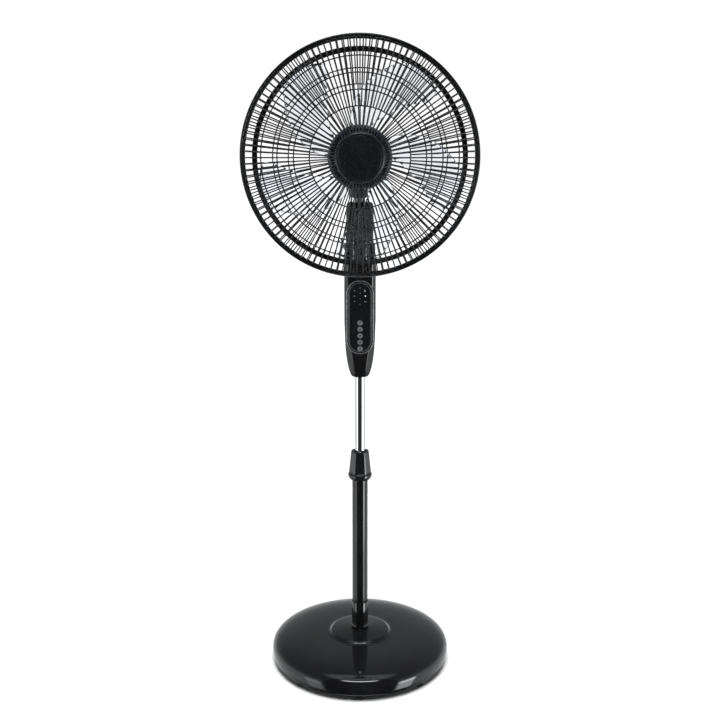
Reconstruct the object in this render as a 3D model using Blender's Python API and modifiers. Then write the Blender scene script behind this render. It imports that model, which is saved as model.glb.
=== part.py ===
"""A free-standing pedestal fan with a 40 cm blade, metres, +Z up, front towards -Y.

The origin is on the floor under the pole. Every sub-part is one named object. A turned piece is a
profile with a Screw modifier; pieces of the head are turned about the blade axis, which runs along Y
at the height HEAD_Z, and their profile heights are distances in front of the pole axis.
"""

import math

import bmesh
import bpy

GAP = 0.0003  # clearance between pieces that touch

# Base
BASE_RADIUS = 0.189
BASE_SKIRT_Z = 0.020
BASE_DOME_HEIGHT = 0.038
BASE_DOME_POWER = 4
BASE_WALL = 0.0025
BOSS_RADIUS = 0.066
BOSS_TOP_Z = 0.066
PLATE_TOP_Z = 0.0125
PLATE_BOTTOM_Z = 0.0100
FOOT_COUNT = 8
FOOT_CIRCLE = 0.168

# Pole and height lock
OUTER_TUBE_RADIUS = 0.0165
OUTER_TUBE_BORE = 0.0152
OUTER_TUBE_TOP = 0.420
SOCKET_TOP = 0.127
INNER_TUBE_RADIUS = 0.0110
INNER_TUBE_BORE = 0.0098
INNER_TUBE_BOTTOM = 0.215
INNER_TUBE_TOP = 0.722
COLLAR_BOTTOM = 0.403
COLLAR_TOP = 0.464
COLLAR_FLUTES = 6

# Control housing and its panel
HOUSING_BOTTOM = 0.6245
HOUSING_TOP = 0.8725
HOUSING_WALL = 0.0025
PANEL_CENTRE_Z = 0.753
PANEL_WIDTH = 0.042
PANEL_HEIGHT = 0.146
BEZEL_WIDTH = 0.056
BEZEL_HEIGHT = 0.152
PANEL_BACK = 0.0303
PANEL_FRONT = 0.0325
BEZEL_BACK = 0.0265
BEZEL_FRONT = 0.0330
BUTTON_COUNT = 5
BUTTON_TOP_Z = 0.742
BUTTON_PITCH = 0.01325
BUTTON_RADIUS = 0.0052

# Neck, tilt hinge and swing post
TILT_Z = 0.893
KNUCKLE_RADIUS = 0.020
KNUCKLE_HALF_WIDTH = 0.0125
EAR_INNER_X = 0.0130
EAR_OUTER_X = 0.0270
NECK_BOTTOM = 0.918
NECK_TOP = 0.983
POST_RADIUS = 0.0085
POST_FLANGE_RADIUS = 0.0105
SUN_RADIUS = 0.0170
SUN_TEETH = 24
PINION_TEETH = 8
PINION_RADIUS = SUN_RADIUS * PINION_TEETH / SUN_TEETH
PINION_Y = SUN_RADIUS + PINION_RADIUS + GAP
GEAR_BOTTOM = 1.0135
GEAR_TOP = 1.0170

# Head: distances are measured forwards from the pole axis
HEAD_Z = 1.071
MOTOR_RADIUS = 0.063
MOTOR_WALL = 0.0025
BARREL_REAR = -0.045
BARREL_FRONT = 0.042
GEARBOX_BOTTOM = 0.992
GEARBOX_HALF_WIDTH = 0.0225
GEARBOX_LENGTHENING = 1.25
SHAFT_RADIUS = 0.0040
HUB_RADIUS = 0.061
HUB_REAR = 0.088
HUB_FRONT = 0.140
HUB_WALL = 0.003

# Blade
BLADE_COUNT = 5
BLADE_ROOT_RADIUS = 0.0597
BLADE_TIP_RADIUS = 0.194
BLADE_SWEEP = math.radians(35)
BLADE_HALF_ANGLES = (math.radians(19), math.radians(21), math.radians(15.5))
BLADE_HALF_DEPTHS = (0.021, 0.014)
BLADE_MIDDLE = 0.114
BLADE_CAMBER = 0.005
BLADE_THICKNESS = 0.0022

# Guards
GUARD_RADIUS = 0.225
GUARD_SPOKES = 22
GUARD_WIRE = 0.003
RIM_WIRE_RADIUS = 0.2175
CAP_RADIUS = 0.046

BASE_STEPS = 36
HEAD_STEPS = 28
TUBE_STEPS = 20
SMALL_STEPS = 12
LOFT_STEPS = 20


def clear_scene():
    for obj in list(bpy.data.objects):
        bpy.data.objects.remove(obj, do_unlink=True)


def new_collection(name):
    collection = bpy.data.collections.new(name)
    bpy.context.scene.collection.children.link(collection)
    return collection


def material(name, colour, roughness, metallic=0.0):
    made = bpy.data.materials.new(name)
    made.use_nodes = True
    made.diffuse_color = (*colour, 1.0)
    surface = made.node_tree.nodes["Principled BSDF"]
    surface.inputs["Base Color"].default_value = (*colour, 1.0)
    surface.inputs["Roughness"].default_value = roughness
    surface.inputs["Metallic"].default_value = metallic
    return made


clear_scene()
PARTS = new_collection("pedestal_fan")
CUTTERS = new_collection("cutters")
GLOSS_BLACK = material("gloss_black", (0.012, 0.012, 0.014), 0.12)
SATIN_BLACK = material("satin_black", (0.020, 0.021, 0.023), 0.42)
WIRE_BLACK = material("wire_black", (0.030, 0.030, 0.032), 0.35)
SMOKE_BLUE = material("smoke_blue", (0.030, 0.050, 0.080), 0.15)
CHROME = material("chrome", (0.80, 0.81, 0.82), 0.06, 1.0)
SILVER = material("silver_button", (0.45, 0.46, 0.48), 0.30, 0.6)
STEEL = material("steel", (0.50, 0.50, 0.52), 0.35, 1.0)
CAST_IRON = material("cast_iron", (0.10, 0.10, 0.10), 0.7, 0.6)
COPPER = material("copper", (0.55, 0.25, 0.12), 0.4, 1.0)
RUBBER = material("rubber", (0.015, 0.015, 0.015), 0.85)
NYLON = material("nylon", (0.55, 0.55, 0.52), 0.5)
BOARD_GREEN = material("board_green", (0.02, 0.16, 0.07), 0.5)
LIGHT_GUIDE = material("light_guide", (0.70, 0.72, 0.75), 0.3)


def add(name, data, surface, collection=None):
    """A new object in the parts collection, or a hidden cutter when the surface is None."""
    obj = bpy.data.objects.new(name, data)
    if surface is None:
        CUTTERS.objects.link(obj)
        obj.hide_render = True
        obj.display_type = "WIRE"
    else:
        (collection or PARTS).objects.link(obj)
        data.materials.append(surface)
    return obj


def signed_area(points):
    pairs = zip(points, points[1:] + points[:1])
    return sum(a[0] * b[1] - b[0] * a[1] for a, b in pairs) / 2


def face_forwards(obj):
    """Lays a piece made along +Z on the blade axis, so that its +Z points to the front."""
    obj.rotation_euler.x = math.radians(90)
    obj.location.z = HEAD_Z
    return obj


def turned(name, profile, surface, steps=TUBE_STEPS, solid=False):
    """Turns (radius, height) points about Z. A solid profile starts and ends on the axis."""
    points = list(profile)
    outline = points if solid else points + points[:1]
    if signed_area(outline) > 0:
        points.reverse()
    mesh = bpy.data.meshes.new(name)
    count = len(points)
    edges = [(i, i + 1) for i in range(count - 1)]
    if not solid:
        edges.append((count - 1, 0))
    mesh.from_pydata([(r, 0, h) for r, h in points], edges, [])
    obj = add(name, mesh, surface)
    screw = obj.modifiers.new("Turn", "SCREW")
    screw.steps = steps
    screw.render_steps = steps
    screw.use_merge_vertices = solid
    screw.merge_threshold = 0.00001
    screw.use_smooth_shade = True
    return obj


def ring(name, inner, outer, bottom, top, surface, steps=TUBE_STEPS):
    profile = [(inner, top), (outer, top), (outer, bottom), (inner, bottom)]
    return turned(name, profile, surface, steps)


def disc(name, radius, bottom, top, surface, steps=TUBE_STEPS):
    profile = [(0, top), (radius, top), (radius, bottom), (0, bottom)]
    return turned(name, profile, surface, steps, solid=True)


def box(name, low, high, surface, bevel=0.0):
    centre = [(a + b) / 2 for a, b in zip(low, high)]
    mesh = bpy.data.meshes.new(name)
    shape = bmesh.new()
    bmesh.ops.create_cube(shape, size=1.0)
    bmesh.ops.scale(shape, vec=[b - a for a, b in zip(low, high)], verts=shape.verts)
    shape.to_mesh(mesh)
    shape.free()
    obj = add(name, mesh, surface)
    obj.location = centre
    if bevel:
        rounding = obj.modifiers.new("Rounding", "BEVEL")
        rounding.width = bevel
        rounding.segments = 2
    return obj


def rod(name, radius, start, end, surface, axis="Z", steps=SMALL_STEPS, stretch=(1, 1)):
    """A cylinder from start to end along one world axis, its end face centred on the origin line."""
    mesh = bpy.data.meshes.new(name)
    shape = bmesh.new()
    bmesh.ops.create_cone(
        shape, cap_ends=True, segments=steps, radius1=radius, radius2=radius, depth=end - start
    )
    bmesh.ops.scale(shape, vec=(stretch[0], stretch[1], 1), verts=shape.verts)
    shape.to_mesh(mesh)
    shape.free()
    obj = add(name, mesh, surface)
    if axis == "X":
        obj.rotation_euler.y = math.radians(90)
        obj.location.x = (start + end) / 2
    else:
        obj.location.z = (start + end) / 2
    return obj


def combine(obj, other, operation):
    modifier = obj.modifiers.new(operation.title(), "BOOLEAN")
    modifier.operation = operation
    modifier.object = other
    return obj


def stadium(width, height, steps=8):
    """Outline of a slot with round ends, upright and centred on the origin."""
    radius = width / 2
    straight = height / 2 - radius
    points = []
    for side, start in ((1, 0.0), (-1, math.pi)):
        for k in range(steps + 1):
            angle = start + math.pi * k / steps
            points.append((radius * math.cos(angle), side * straight + radius * math.sin(angle)))
    return points


def circle(radius, steps, centre=(0, 0)):
    turns = [2 * math.pi * k / steps for k in range(steps)]
    return [(centre[0] + radius * math.cos(t), centre[1] + radius * math.sin(t)) for t in turns]


def gear_outline(tip, depth, teeth):
    """Straight-sided teeth with a flat top and a flat root, each a quarter of the tooth pitch."""
    points = []
    for tooth in range(teeth):
        for quarter, radius in enumerate((tip, tip, tip - depth, tip - depth)):
            angle = 2 * math.pi * (tooth + quarter / 4 + 0.1) / teeth
            points.append((radius * math.cos(angle), radius * math.sin(angle)))
    return points


def plate(name, outlines, bottom, top, surface):
    """A flat piece cut from closed outlines: the first is its edge and the rest are its holes."""
    curve = bpy.data.curves.new(name, "CURVE")
    curve.dimensions = "2D"
    curve.fill_mode = "BOTH"
    curve.extrude = (top - bottom) / 2
    for outline in outlines:
        spline = curve.splines.new("POLY")
        spline.points.add(len(outline) - 1)
        for point, (x, y) in zip(spline.points, outline):
            point.co = (x, y, 0, 1)
        spline.use_cyclic_u = True
    obj = add(name, curve, surface)
    obj.location.z = (bottom + top) / 2
    return obj


def as_mesh(obj):
    """Turns a curve object into a mesh object with welded caps, so that it can be a cutter."""
    bpy.context.view_layer.update()
    graph = bpy.context.evaluated_depsgraph_get()
    mesh = bpy.data.meshes.new_from_object(obj.evaluated_get(graph))
    shape = bmesh.new()
    shape.from_mesh(mesh)
    bmesh.ops.remove_doubles(shape, verts=shape.verts, dist=0.00001)
    bmesh.ops.recalc_face_normals(shape, faces=shape.faces)
    shape.to_mesh(mesh)
    shape.free()
    name = obj.name
    matrix = obj.matrix_world.copy()
    bpy.data.objects.remove(obj, do_unlink=True)
    made = add(name, mesh, None)
    made.matrix_world = matrix
    return made


def superellipse(half_width, half_depth, power, count):
    points = []
    for k in range(count):
        angle = 2 * math.pi * (k + 0.5) / count
        c, s = math.cos(angle), math.sin(angle)
        x = math.copysign(abs(c) ** (2 / power), c)
        y = math.copysign(abs(s) ** (2 / power), s)
        points.append((half_width * x, half_depth * y))
    return points


def lofted(name, sections, surface, count=LOFT_STEPS):
    """A closed body through horizontal sections, each (height, half width, half depth, power)."""
    mesh = bpy.data.meshes.new(name)
    shape = bmesh.new()
    loops = []
    for height, half_width, half_depth, power in sections:
        outline = superellipse(half_width, half_depth, power, count)
        loops.append([shape.verts.new((x, y, height)) for x, y in outline])
    for lower, upper in zip(loops, loops[1:]):
        for k in range(count):
            n = (k + 1) % count
            shape.faces.new((lower[k], lower[n], upper[n], upper[k]))
    shape.faces.new(list(reversed(loops[0])))
    shape.faces.new(loops[-1])
    shape.to_mesh(mesh)
    shape.free()
    return add(name, mesh, surface)


def section_at(sections, height):
    """The section of a loft at a height between its stations."""
    for lower, upper in zip(sections, sections[1:]):
        if height <= upper[0]:
            part = (height - lower[0]) / (upper[0] - lower[0])
            return tuple(a + (b - a) * part for a, b in zip(lower, upper))
    return sections[-1]


def shrink(sections, wall, bottom, top):
    """The sections of the hollow inside a loft, cut off at its own floor and ceiling."""
    heights = [bottom, *(section[0] for section in sections if bottom < section[0] < top), top]
    inner = [section_at(sections, height) for height in heights]
    return [(z, w - wall, d - wall, p) for z, w, d, p in inner]


def dome_profile(radius, height, points, inner_radius):
    """Points of a squared-off quarter dome, from the inner radius out to the skirt."""
    last = math.acos((inner_radius / radius) ** (BASE_DOME_POWER / 2))
    made = []
    for k in range(points):
        angle = last * (1 - k / (points - 1))
        r = radius * math.cos(angle) ** (2 / BASE_DOME_POWER)
        z = BASE_SKIRT_Z + height * math.sin(angle) ** (2 / BASE_DOME_POWER)
        made.append((r, z))
    return made


def make_base():
    bore = OUTER_TUBE_RADIUS + GAP
    outer = [(bore, BOSS_TOP_Z), (0.0550, 0.0630), (0.0610, 0.0622), (0.0640, 0.0603)]
    outer += dome_profile(BASE_RADIUS, BASE_DOME_HEIGHT, 7, BOSS_RADIUS)
    outer += [(0.1880, 0.0145), (0.1850, 0.0110)]
    inner = dome_profile(BASE_RADIUS - BASE_WALL, BASE_DOME_HEIGHT - BASE_WALL, 5, BOSS_RADIUS)
    inner = [(bore, BOSS_TOP_Z - BASE_WALL), *inner, (0.1820, 0.0110)]
    turned("base_cover", outer + inner[::-1], GLOSS_BLACK, BASE_STEPS)
    ring("base_weight", bore, 0.150, PLATE_TOP_Z + GAP, 0.0178, CAST_IRON, HEAD_STEPS)
    ring("base_plate", 0.0045, 0.1815, PLATE_BOTTOM_Z, PLATE_TOP_Z, SATIN_BLACK, BASE_STEPS)
    top = PLATE_BOTTOM_Z - GAP
    foot_profile = [(0, top), (0.0125, top), (0.0125, 0.0060), (0.0100, 0), (0, 0)]
    for k in range(FOOT_COUNT):
        angle = 2 * math.pi * k / FOOT_COUNT - math.pi / 2
        name = f"rubber_foot_{k + 1}"
        foot = turned(name, foot_profile, RUBBER, SMALL_STEPS, solid=True)
        foot.location.x = FOOT_CIRCLE * math.cos(angle)
        foot.location.y = FOOT_CIRCLE * math.sin(angle)


def make_pole():
    bottom = PLATE_TOP_Z + GAP
    ring("outer_tube", OUTER_TUBE_BORE, OUTER_TUBE_RADIUS, bottom, OUTER_TUBE_TOP, SATIN_BLACK)
    plug = OUTER_TUBE_BORE - GAP
    ring("tube_foot_plug", 0.0043, plug, bottom, 0.042, NYLON)
    bolt = [(0, 0.038), (0.0040, 0.038), (0.0040, 0.0097), (0.0095, 0.0097), (0.0095, 0.0045), (0, 0.0045)]
    turned("pole_bolt", bolt, STEEL, 12, solid=True)
    bore = OUTER_TUBE_RADIUS + GAP
    flare_z = BOSS_TOP_Z + GAP
    socket = [
        (bore, SOCKET_TOP),
        (0.0176, SOCKET_TOP),
        (0.0178, flare_z + 0.0085),
        (0.0190, flare_z + 0.0065),
        (0.0190, flare_z + 0.0030),
        (0.0178, flare_z),
        (bore, flare_z),
    ]
    turned("pole_socket", socket, GLOSS_BLACK)
    slide = INNER_TUBE_RADIUS + GAP
    shoulder = OUTER_TUBE_TOP + GAP
    bush = [
        (slide, shoulder + 0.008),
        (OUTER_TUBE_RADIUS, shoulder + 0.008),
        (OUTER_TUBE_RADIUS, shoulder),
        (plug, shoulder),
        (plug, 0.390),
        (slide, 0.390),
    ]
    turned("tube_bush", bush, NYLON)
    make_collet(slide, shoulder + 0.008 + GAP)
    ring("inner_tube", INNER_TUBE_BORE, INNER_TUBE_RADIUS, INNER_TUBE_BOTTOM, INNER_TUBE_TOP, CHROME)
    stop_top = INNER_TUBE_BOTTOM - GAP
    stop = [
        (0, INNER_TUBE_BOTTOM + 0.020),
        (INNER_TUBE_BORE - GAP, INNER_TUBE_BOTTOM + 0.020),
        (INNER_TUBE_BORE - GAP, stop_top),
        (plug, stop_top),
        (plug, stop_top - 0.012),
        (0, stop_top - 0.012),
    ]
    turned("tube_end_stop", stop, NYLON, solid=True)


def make_collet(bore, bottom):
    """A split cone that the collar squeezes on to the inner tube."""
    top = bottom + 0.018
    profile = [(bore, top), (0.0138, top), (0.0155, bottom + 0.004), (0.0155, bottom), (bore, bottom)]
    collet = turned("collet", profile, NYLON)
    for k, (half_x, half_y) in enumerate(((0.0009, 0.02), (0.02, 0.0009))):
        low = (-half_x, -half_y, bottom + 0.005)
        slot = box(f"collet_slot_{k}", low, (half_x, half_y, top + 0.002), None)
        combine(collet, slot, "DIFFERENCE")


def make_collar():
    """The fluted sleeve that is turned by hand to lock the height."""
    tube = OUTER_TUBE_RADIUS + GAP
    profile = [
        (INNER_TUBE_RADIUS + 0.0010, COLLAR_TOP - 0.003),
        (0.0158, COLLAR_TOP),
        (0.0182, COLLAR_TOP - 0.001),
        (0.0195, COLLAR_TOP - 0.009),
        (0.0233, 0.4160),
        (0.0250, 0.4145),
        (0.0250, 0.4085),
        (0.0215, COLLAR_BOTTOM),
        (tube, COLLAR_BOTTOM),
        (tube, 0.4320),
        (0.0163, 0.4345),
        (0.0147, 0.4480),
        (INNER_TUBE_RADIUS + 0.0010, 0.4490),
    ]
    collar = turned("height_collar", profile, SATIN_BLACK, 24)
    lean = math.atan2(0.0233 - 0.0195, 0.0390)
    for k in range(COLLAR_FLUTES):
        angle = 2 * math.pi * k / COLLAR_FLUTES - math.pi / 2
        flute = box(f"collar_flute_{k}", (0, -0.0078, -0.0190), (0.0100, 0.0078, 0.0190), None)
        reach = 0.0248
        flute.location = (reach * math.cos(angle), reach * math.sin(angle), 0.4370)
        flute.rotation_euler = (0, -lean, angle)
        combine(collar, flute, "DIFFERENCE")


HOUSING_SECTIONS = (
    (HOUSING_BOTTOM, 0.0140, 0.0140, 2.0),
    (0.6275, 0.0175, 0.0172, 2.2),
    (0.6400, 0.0228, 0.0222, 3.0),
    (0.6530, 0.0256, 0.0248, 4.0),
    (0.6660, 0.0276, 0.0268, 4.6),
    (0.6780, 0.0290, 0.0282, 5.0),
    (0.7040, 0.0306, 0.0295, 5.0),
    (0.7450, 0.0320, 0.0300, 5.0),
    (0.8620, 0.0320, 0.0300, 5.0),
    (0.8690, 0.0308, 0.0288, 4.6),
    (HOUSING_TOP, 0.0285, 0.0265, 4.0),
)


def make_housing():
    hollow_sections = shrink(HOUSING_SECTIONS, HOUSING_WALL, 0.6320, 0.8690)
    hollow = lofted("housing_hollow", hollow_sections, None)
    pole_bore = rod("housing_pole_bore", INNER_TUBE_RADIUS + GAP, 0.620, 0.640, None, steps=TUBE_STEPS)
    column = 0.0125 + GAP
    column_hole = box("housing_column_hole", (-column, -column, 0.860), (column, column, 0.880), None)
    pocket = plate(
        "housing_panel_pocket",
        [stadium(BEZEL_WIDTH + 0.0006, BEZEL_HEIGHT + 0.0006)],
        BEZEL_BACK - GAP,
        BEZEL_BACK + 0.020,
        None,
    )
    pocket.rotation_euler.x = math.radians(90)
    pocket.location = (0, -(BEZEL_BACK - GAP + BEZEL_BACK + 0.020) / 2, PANEL_CENTRE_Z)
    pocket = as_mesh(pocket)
    gland_bore = rod("housing_gland_bore", 0.0050 + GAP, -0.010, 0.010, None)
    gland_bore.rotation_euler.x = math.radians(90)
    gland_bore.location = (0, 0.030, 0.690)
    far = 0.060
    half = GAP / 2
    sides = (("control_housing_front", -half, far), ("control_housing_rear", -far, half))
    for name, low_y, high_y in sides:
        shell = lofted(name, HOUSING_SECTIONS, GLOSS_BLACK)
        other_side = box(f"{name}_split", (-far, low_y, 0.600), (far, high_y, 0.900), None)
        for cutter in (hollow, pole_bore, column_hole, other_side):
            combine(shell, cutter, "DIFFERENCE")
    combine(bpy.data.objects["control_housing_front"], pocket, "DIFFERENCE")
    combine(bpy.data.objects["control_housing_rear"], gland_bore, "DIFFERENCE")
    gland = turned(
        "cord_gland",
        [
            (0.0032, 0.0330),
            (0.0060, 0.0330),
            (0.0075, 0.0315),
            (0.0075, 0.0292),
            (0.0050, 0.0292),
            (0.0050, 0.0250),
            (0.0032, 0.0250),
        ],
        RUBBER,
        SMALL_STEPS,
    )
    gland.rotation_euler.x = math.radians(-90)
    gland.location.z = 0.690
    screw = disc("housing_screw", 0.0034, 0.0303, 0.0320, STEEL, 12)
    screw.rotation_euler.x = math.radians(-90)
    screw.location.z = 0.845


def make_tilt_bracket():
    """The column that stands on the inner tube and ends in the tilt knuckle."""
    bracket = rod("tilt_bracket", 0.0146, 0.690, 0.732, SATIN_BLACK, steps=TUBE_STEPS)
    column = box("bracket_column", (-0.0125, -0.0125, 0.728), (0.0125, 0.0125, TILT_Z), None)
    knuckle = rod(
        "bracket_knuckle", KNUCKLE_RADIUS, -KNUCKLE_HALF_WIDTH, KNUCKLE_HALF_WIDTH, None, "X", TUBE_STEPS
    )
    knuckle.location.z = TILT_Z
    tube_bore = rod(
        "bracket_tube_bore", INNER_TUBE_RADIUS + GAP, 0.680, INNER_TUBE_TOP + GAP, None, steps=TUBE_STEPS
    )
    pin_bore = rod("bracket_pin_bore", 0.0043, -0.050, 0.050, None, "X")
    pin_bore.location.z = TILT_Z
    combine(bracket, column, "UNION")
    combine(bracket, knuckle, "UNION")
    combine(bracket, tube_bore, "DIFFERENCE")
    combine(bracket, pin_bore, "DIFFERENCE")


def on_panel(obj):
    """Turns a piece made flat so that it faces the front at the panel's centre height."""
    depth = obj.location.z
    obj.rotation_euler.x = math.radians(90)
    obj.location = (0, -depth, PANEL_CENTRE_Z)
    return obj


def make_panel():
    bezel_hole = stadium(PANEL_WIDTH + 0.0006, PANEL_HEIGHT + 0.0006)
    bezel = plate(
        "panel_bezel", [stadium(BEZEL_WIDTH, BEZEL_HEIGHT), bezel_hole], BEZEL_BACK, BEZEL_FRONT, SATIN_BLACK
    )
    on_panel(bezel)
    heights = [BUTTON_TOP_Z - BUTTON_PITCH * k - PANEL_CENTRE_Z for k in range(BUTTON_COUNT)]
    holes = [circle(BUTTON_RADIUS + GAP, SMALL_STEPS, (0, height)) for height in heights]
    outline = stadium(PANEL_WIDTH, PANEL_HEIGHT)
    on_panel(plate("panel_plate", [outline, *holes], PANEL_BACK, PANEL_FRONT, SATIN_BLACK))
    back = PANEL_BACK - GAP
    button_profile = [
        (0, 0.0343),
        (0.0040, 0.0343),
        (BUTTON_RADIUS, 0.0336),
        (BUTTON_RADIUS, back),
        (0.0060, back),
        (0.0060, back - 0.0018),
        (0, back - 0.0018),
    ]
    for k, height in enumerate(heights):
        button = turned(f"button_{k + 1}", button_profile, SILVER, SMALL_STEPS, solid=True)
        button.rotation_euler.x = math.radians(90)
        button.location.z = PANEL_CENTRE_Z + height
    box("indicator_light_guide", (-0.0145, -back, 0.7745), (0.0145, -back + 0.0025, 0.8180), LIGHT_GUIDE)
    box("control_board", (-0.0170, -0.0221, 0.6830), (0.0170, -0.0205, 0.8220), BOARD_GREEN)


def make_neck():
    sections = (
        (NECK_BOTTOM, 0.0270, 0.0250, 4.0),
        (0.9260, 0.0278, 0.0262, 4.0),
        (0.9700, 0.0278, 0.0262, 4.0),
        (0.9790, 0.0270, 0.0252, 3.6),
        (NECK_TOP, 0.0245, 0.0228, 3.2),
    )
    neck = lofted("neck_housing", sections, SATIN_BLACK)
    for side in (-1, 1):
        low_x, high_x = sorted((side * EAR_INNER_X, side * EAR_OUTER_X))
        ear = rod(f"neck_ear_{side}", KNUCKLE_RADIUS, low_x, high_x, None, "X", TUBE_STEPS)
        ear.location.z = TILT_Z
        web = box(f"neck_web_{side}", (low_x, -0.0198, TILT_Z), (high_x, 0.0198, 0.9300), None)
        combine(neck, ear, "UNION")
        combine(neck, web, "UNION")
    pin_bore = rod("neck_pin_bore", 0.0043, -0.050, 0.050, None, "X")
    pin_bore.location.z = TILT_Z
    post_bore = rod("neck_post_bore", POST_RADIUS + GAP, 0.962, 0.990, None)
    combine(neck, pin_bore, "DIFFERENCE")
    combine(neck, post_bore, "DIFFERENCE")
    bolt = rod("tilt_bolt", 0.0040, -0.0335, 0.0290, STEEL, "X", 12)
    bolt.location.z = TILT_Z
    bolt_head = rod("tilt_bolt_head", 0.0075, EAR_OUTER_X + GAP, 0.0310, None, "X", 6)
    bolt_head.location.z = TILT_Z
    combine(bolt, bolt_head, "UNION")
    nut = rod("tilt_nut", 0.0075, -0.0315, -EAR_OUTER_X - GAP, STEEL, "X", 6)
    nut.location.z = TILT_Z
    nut_bore = rod("tilt_nut_bore", 0.0043, -0.050, 0, None, "X")
    nut_bore.location.z = TILT_Z
    combine(nut, nut_bore, "DIFFERENCE")
    make_motor_lead()


def make_swing_drive():
    """The fixed post and sun gear of the neck, and the pinion and motor that walk round it."""
    flange_bottom = NECK_TOP + GAP
    flange_top = GEARBOX_BOTTOM - GAP
    post = [
        (0, GEAR_TOP),
        (0.0060, GEAR_TOP),
        (0.0060, GEAR_BOTTOM - GAP),
        (POST_RADIUS, GEAR_BOTTOM - GAP),
        (POST_RADIUS, flange_top),
        (POST_FLANGE_RADIUS, flange_top),
        (POST_FLANGE_RADIUS, flange_bottom),
        (POST_RADIUS, flange_bottom),
        (POST_RADIUS, 0.9625),
        (0, 0.9625),
    ]
    turned("swing_post", post, STEEL, SMALL_STEPS, solid=True)
    sun = [gear_outline(SUN_RADIUS, 0.0011, SUN_TEETH), circle(0.0063, 16)]
    plate("swing_gear", sun, GEAR_BOTTOM, GEAR_TOP, NYLON)
    pinion_outline = [gear_outline(PINION_RADIUS, 0.0011, PINION_TEETH), circle(0.0018, 8)]
    pinion = plate("swing_pinion", pinion_outline, GEAR_BOTTOM, GEAR_TOP, NYLON)
    pinion.location.y = PINION_Y
    motor = [
        (0, 1.0340),
        (0.0115, 1.0340),
        (0.0115, GEAR_TOP + 0.0010),
        (0.0015, GEAR_TOP + 0.0010),
        (0.0015, GEAR_BOTTOM),
        (0, GEAR_BOTTOM),
    ]
    swing_motor = turned("swing_motor", motor, STEEL, SMALL_STEPS, solid=True)
    swing_motor.location.y = PINION_Y


def make_motor_lead():
    """The lead that leaves the gearbox's underside and loops down to the front of the neck."""
    route = (
        (-0.0170, -0.0180, GEARBOX_BOTTOM - 2 * GAP),
        (-0.0170, -0.0184, 0.9880),
        (-0.0178, -0.0272, 0.9800),
        (-0.0186, -0.0320, 0.9690),
        (-0.0192, -0.0340, 0.9560),
        (-0.0198, -0.0325, 0.9430),
        (-0.0204, -0.0288, 0.9350),
    )
    curve = bpy.data.curves.new("motor_lead", "CURVE")
    curve.dimensions = "3D"
    curve.bevel_depth = 0.0021
    curve.bevel_resolution = 2
    curve.use_fill_caps = True
    spline = curve.splines.new("POLY")
    steps = 3
    points = smooth_route(route, steps)
    spline.points.add(len(points) - 1)
    for point, place in zip(spline.points, points):
        point.co = (*place, 1)
    add("motor_lead", curve, RUBBER)


def smooth_route(route, steps):
    """Catmull-Rom points through a hand-chosen route."""
    padded = [route[0], *route, route[-1]]
    made = []
    for k in range(len(route) - 1):
        a, b, c, d = padded[k : k + 4]
        for step in range(steps):
            t = step / steps
            made.append(tuple(catmull_rom(a[i], b[i], c[i], d[i], t) for i in range(3)))
    made.append(route[-1])
    return made


def catmull_rom(a, b, c, d, t):
    linear = (c - a) * t
    square = (2 * a - 5 * b + 4 * c - d) * t * t
    cubic = (3 * b - 3 * c + d - a) * t * t * t
    return (2 * b + linear + square + cubic) / 2


def make_motor_shell():
    """The barrel with its gearbox, the domed rear cover and the front plate."""
    barrel = face_forwards(disc("motor_housing", MOTOR_RADIUS, BARREL_REAR, BARREL_FRONT, SATIN_BLACK, HEAD_STEPS))
    gearbox = rod(
        "gearbox_body",
        GEARBOX_HALF_WIDTH,
        GEARBOX_BOTTOM,
        1.030,
        None,
        steps=TUBE_STEPS,
        stretch=(1, GEARBOX_LENGTHENING),
    )
    hollow = face_forwards(
        disc("motor_hollow", MOTOR_RADIUS - MOTOR_WALL, BARREL_REAR - 0.010, BARREL_FRONT + 0.010, None, HEAD_STEPS)
    )
    post_bore = rod("gearbox_post_bore", POST_RADIUS + GAP, 0.980, 1.020, None)
    combine(barrel, gearbox, "UNION")
    combine(barrel, hollow, "DIFFERENCE")
    combine(barrel, post_bore, "DIFFERENCE")
    edge = BARREL_REAR - GAP
    rear_outer = [(MOTOR_RADIUS, edge), (0.0605, -0.0620), (0.0500, -0.0765), (0.0300, -0.0830)]
    rear_inner = [(0, -0.0805), (0.0290, -0.0805), (0.0480, -0.0745), (0.0580, -0.0610)]
    rear = [(0, -0.083), *rear_outer[::-1], (MOTOR_RADIUS - MOTOR_WALL, edge), *rear_inner[::-1]]
    face_forwards(turned("motor_rear_cover", rear, SATIN_BLACK, HEAD_STEPS, solid=True))
    front = BARREL_FRONT + GAP
    front_plate = [
        (0.0075, front),
        (MOTOR_RADIUS, front),
        (MOTOR_RADIUS, front + 0.0025),
        (0.0600, front + 0.0042),
        (0.0190, front + 0.0042),
        (0.0190, 0.0660),
        (0.0115, 0.0660),
        (0.0115, 0.0530),
        (0.0075, 0.0530),
    ]
    face_forwards(turned("motor_front_plate", front_plate, SATIN_BLACK, HEAD_STEPS))


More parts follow.
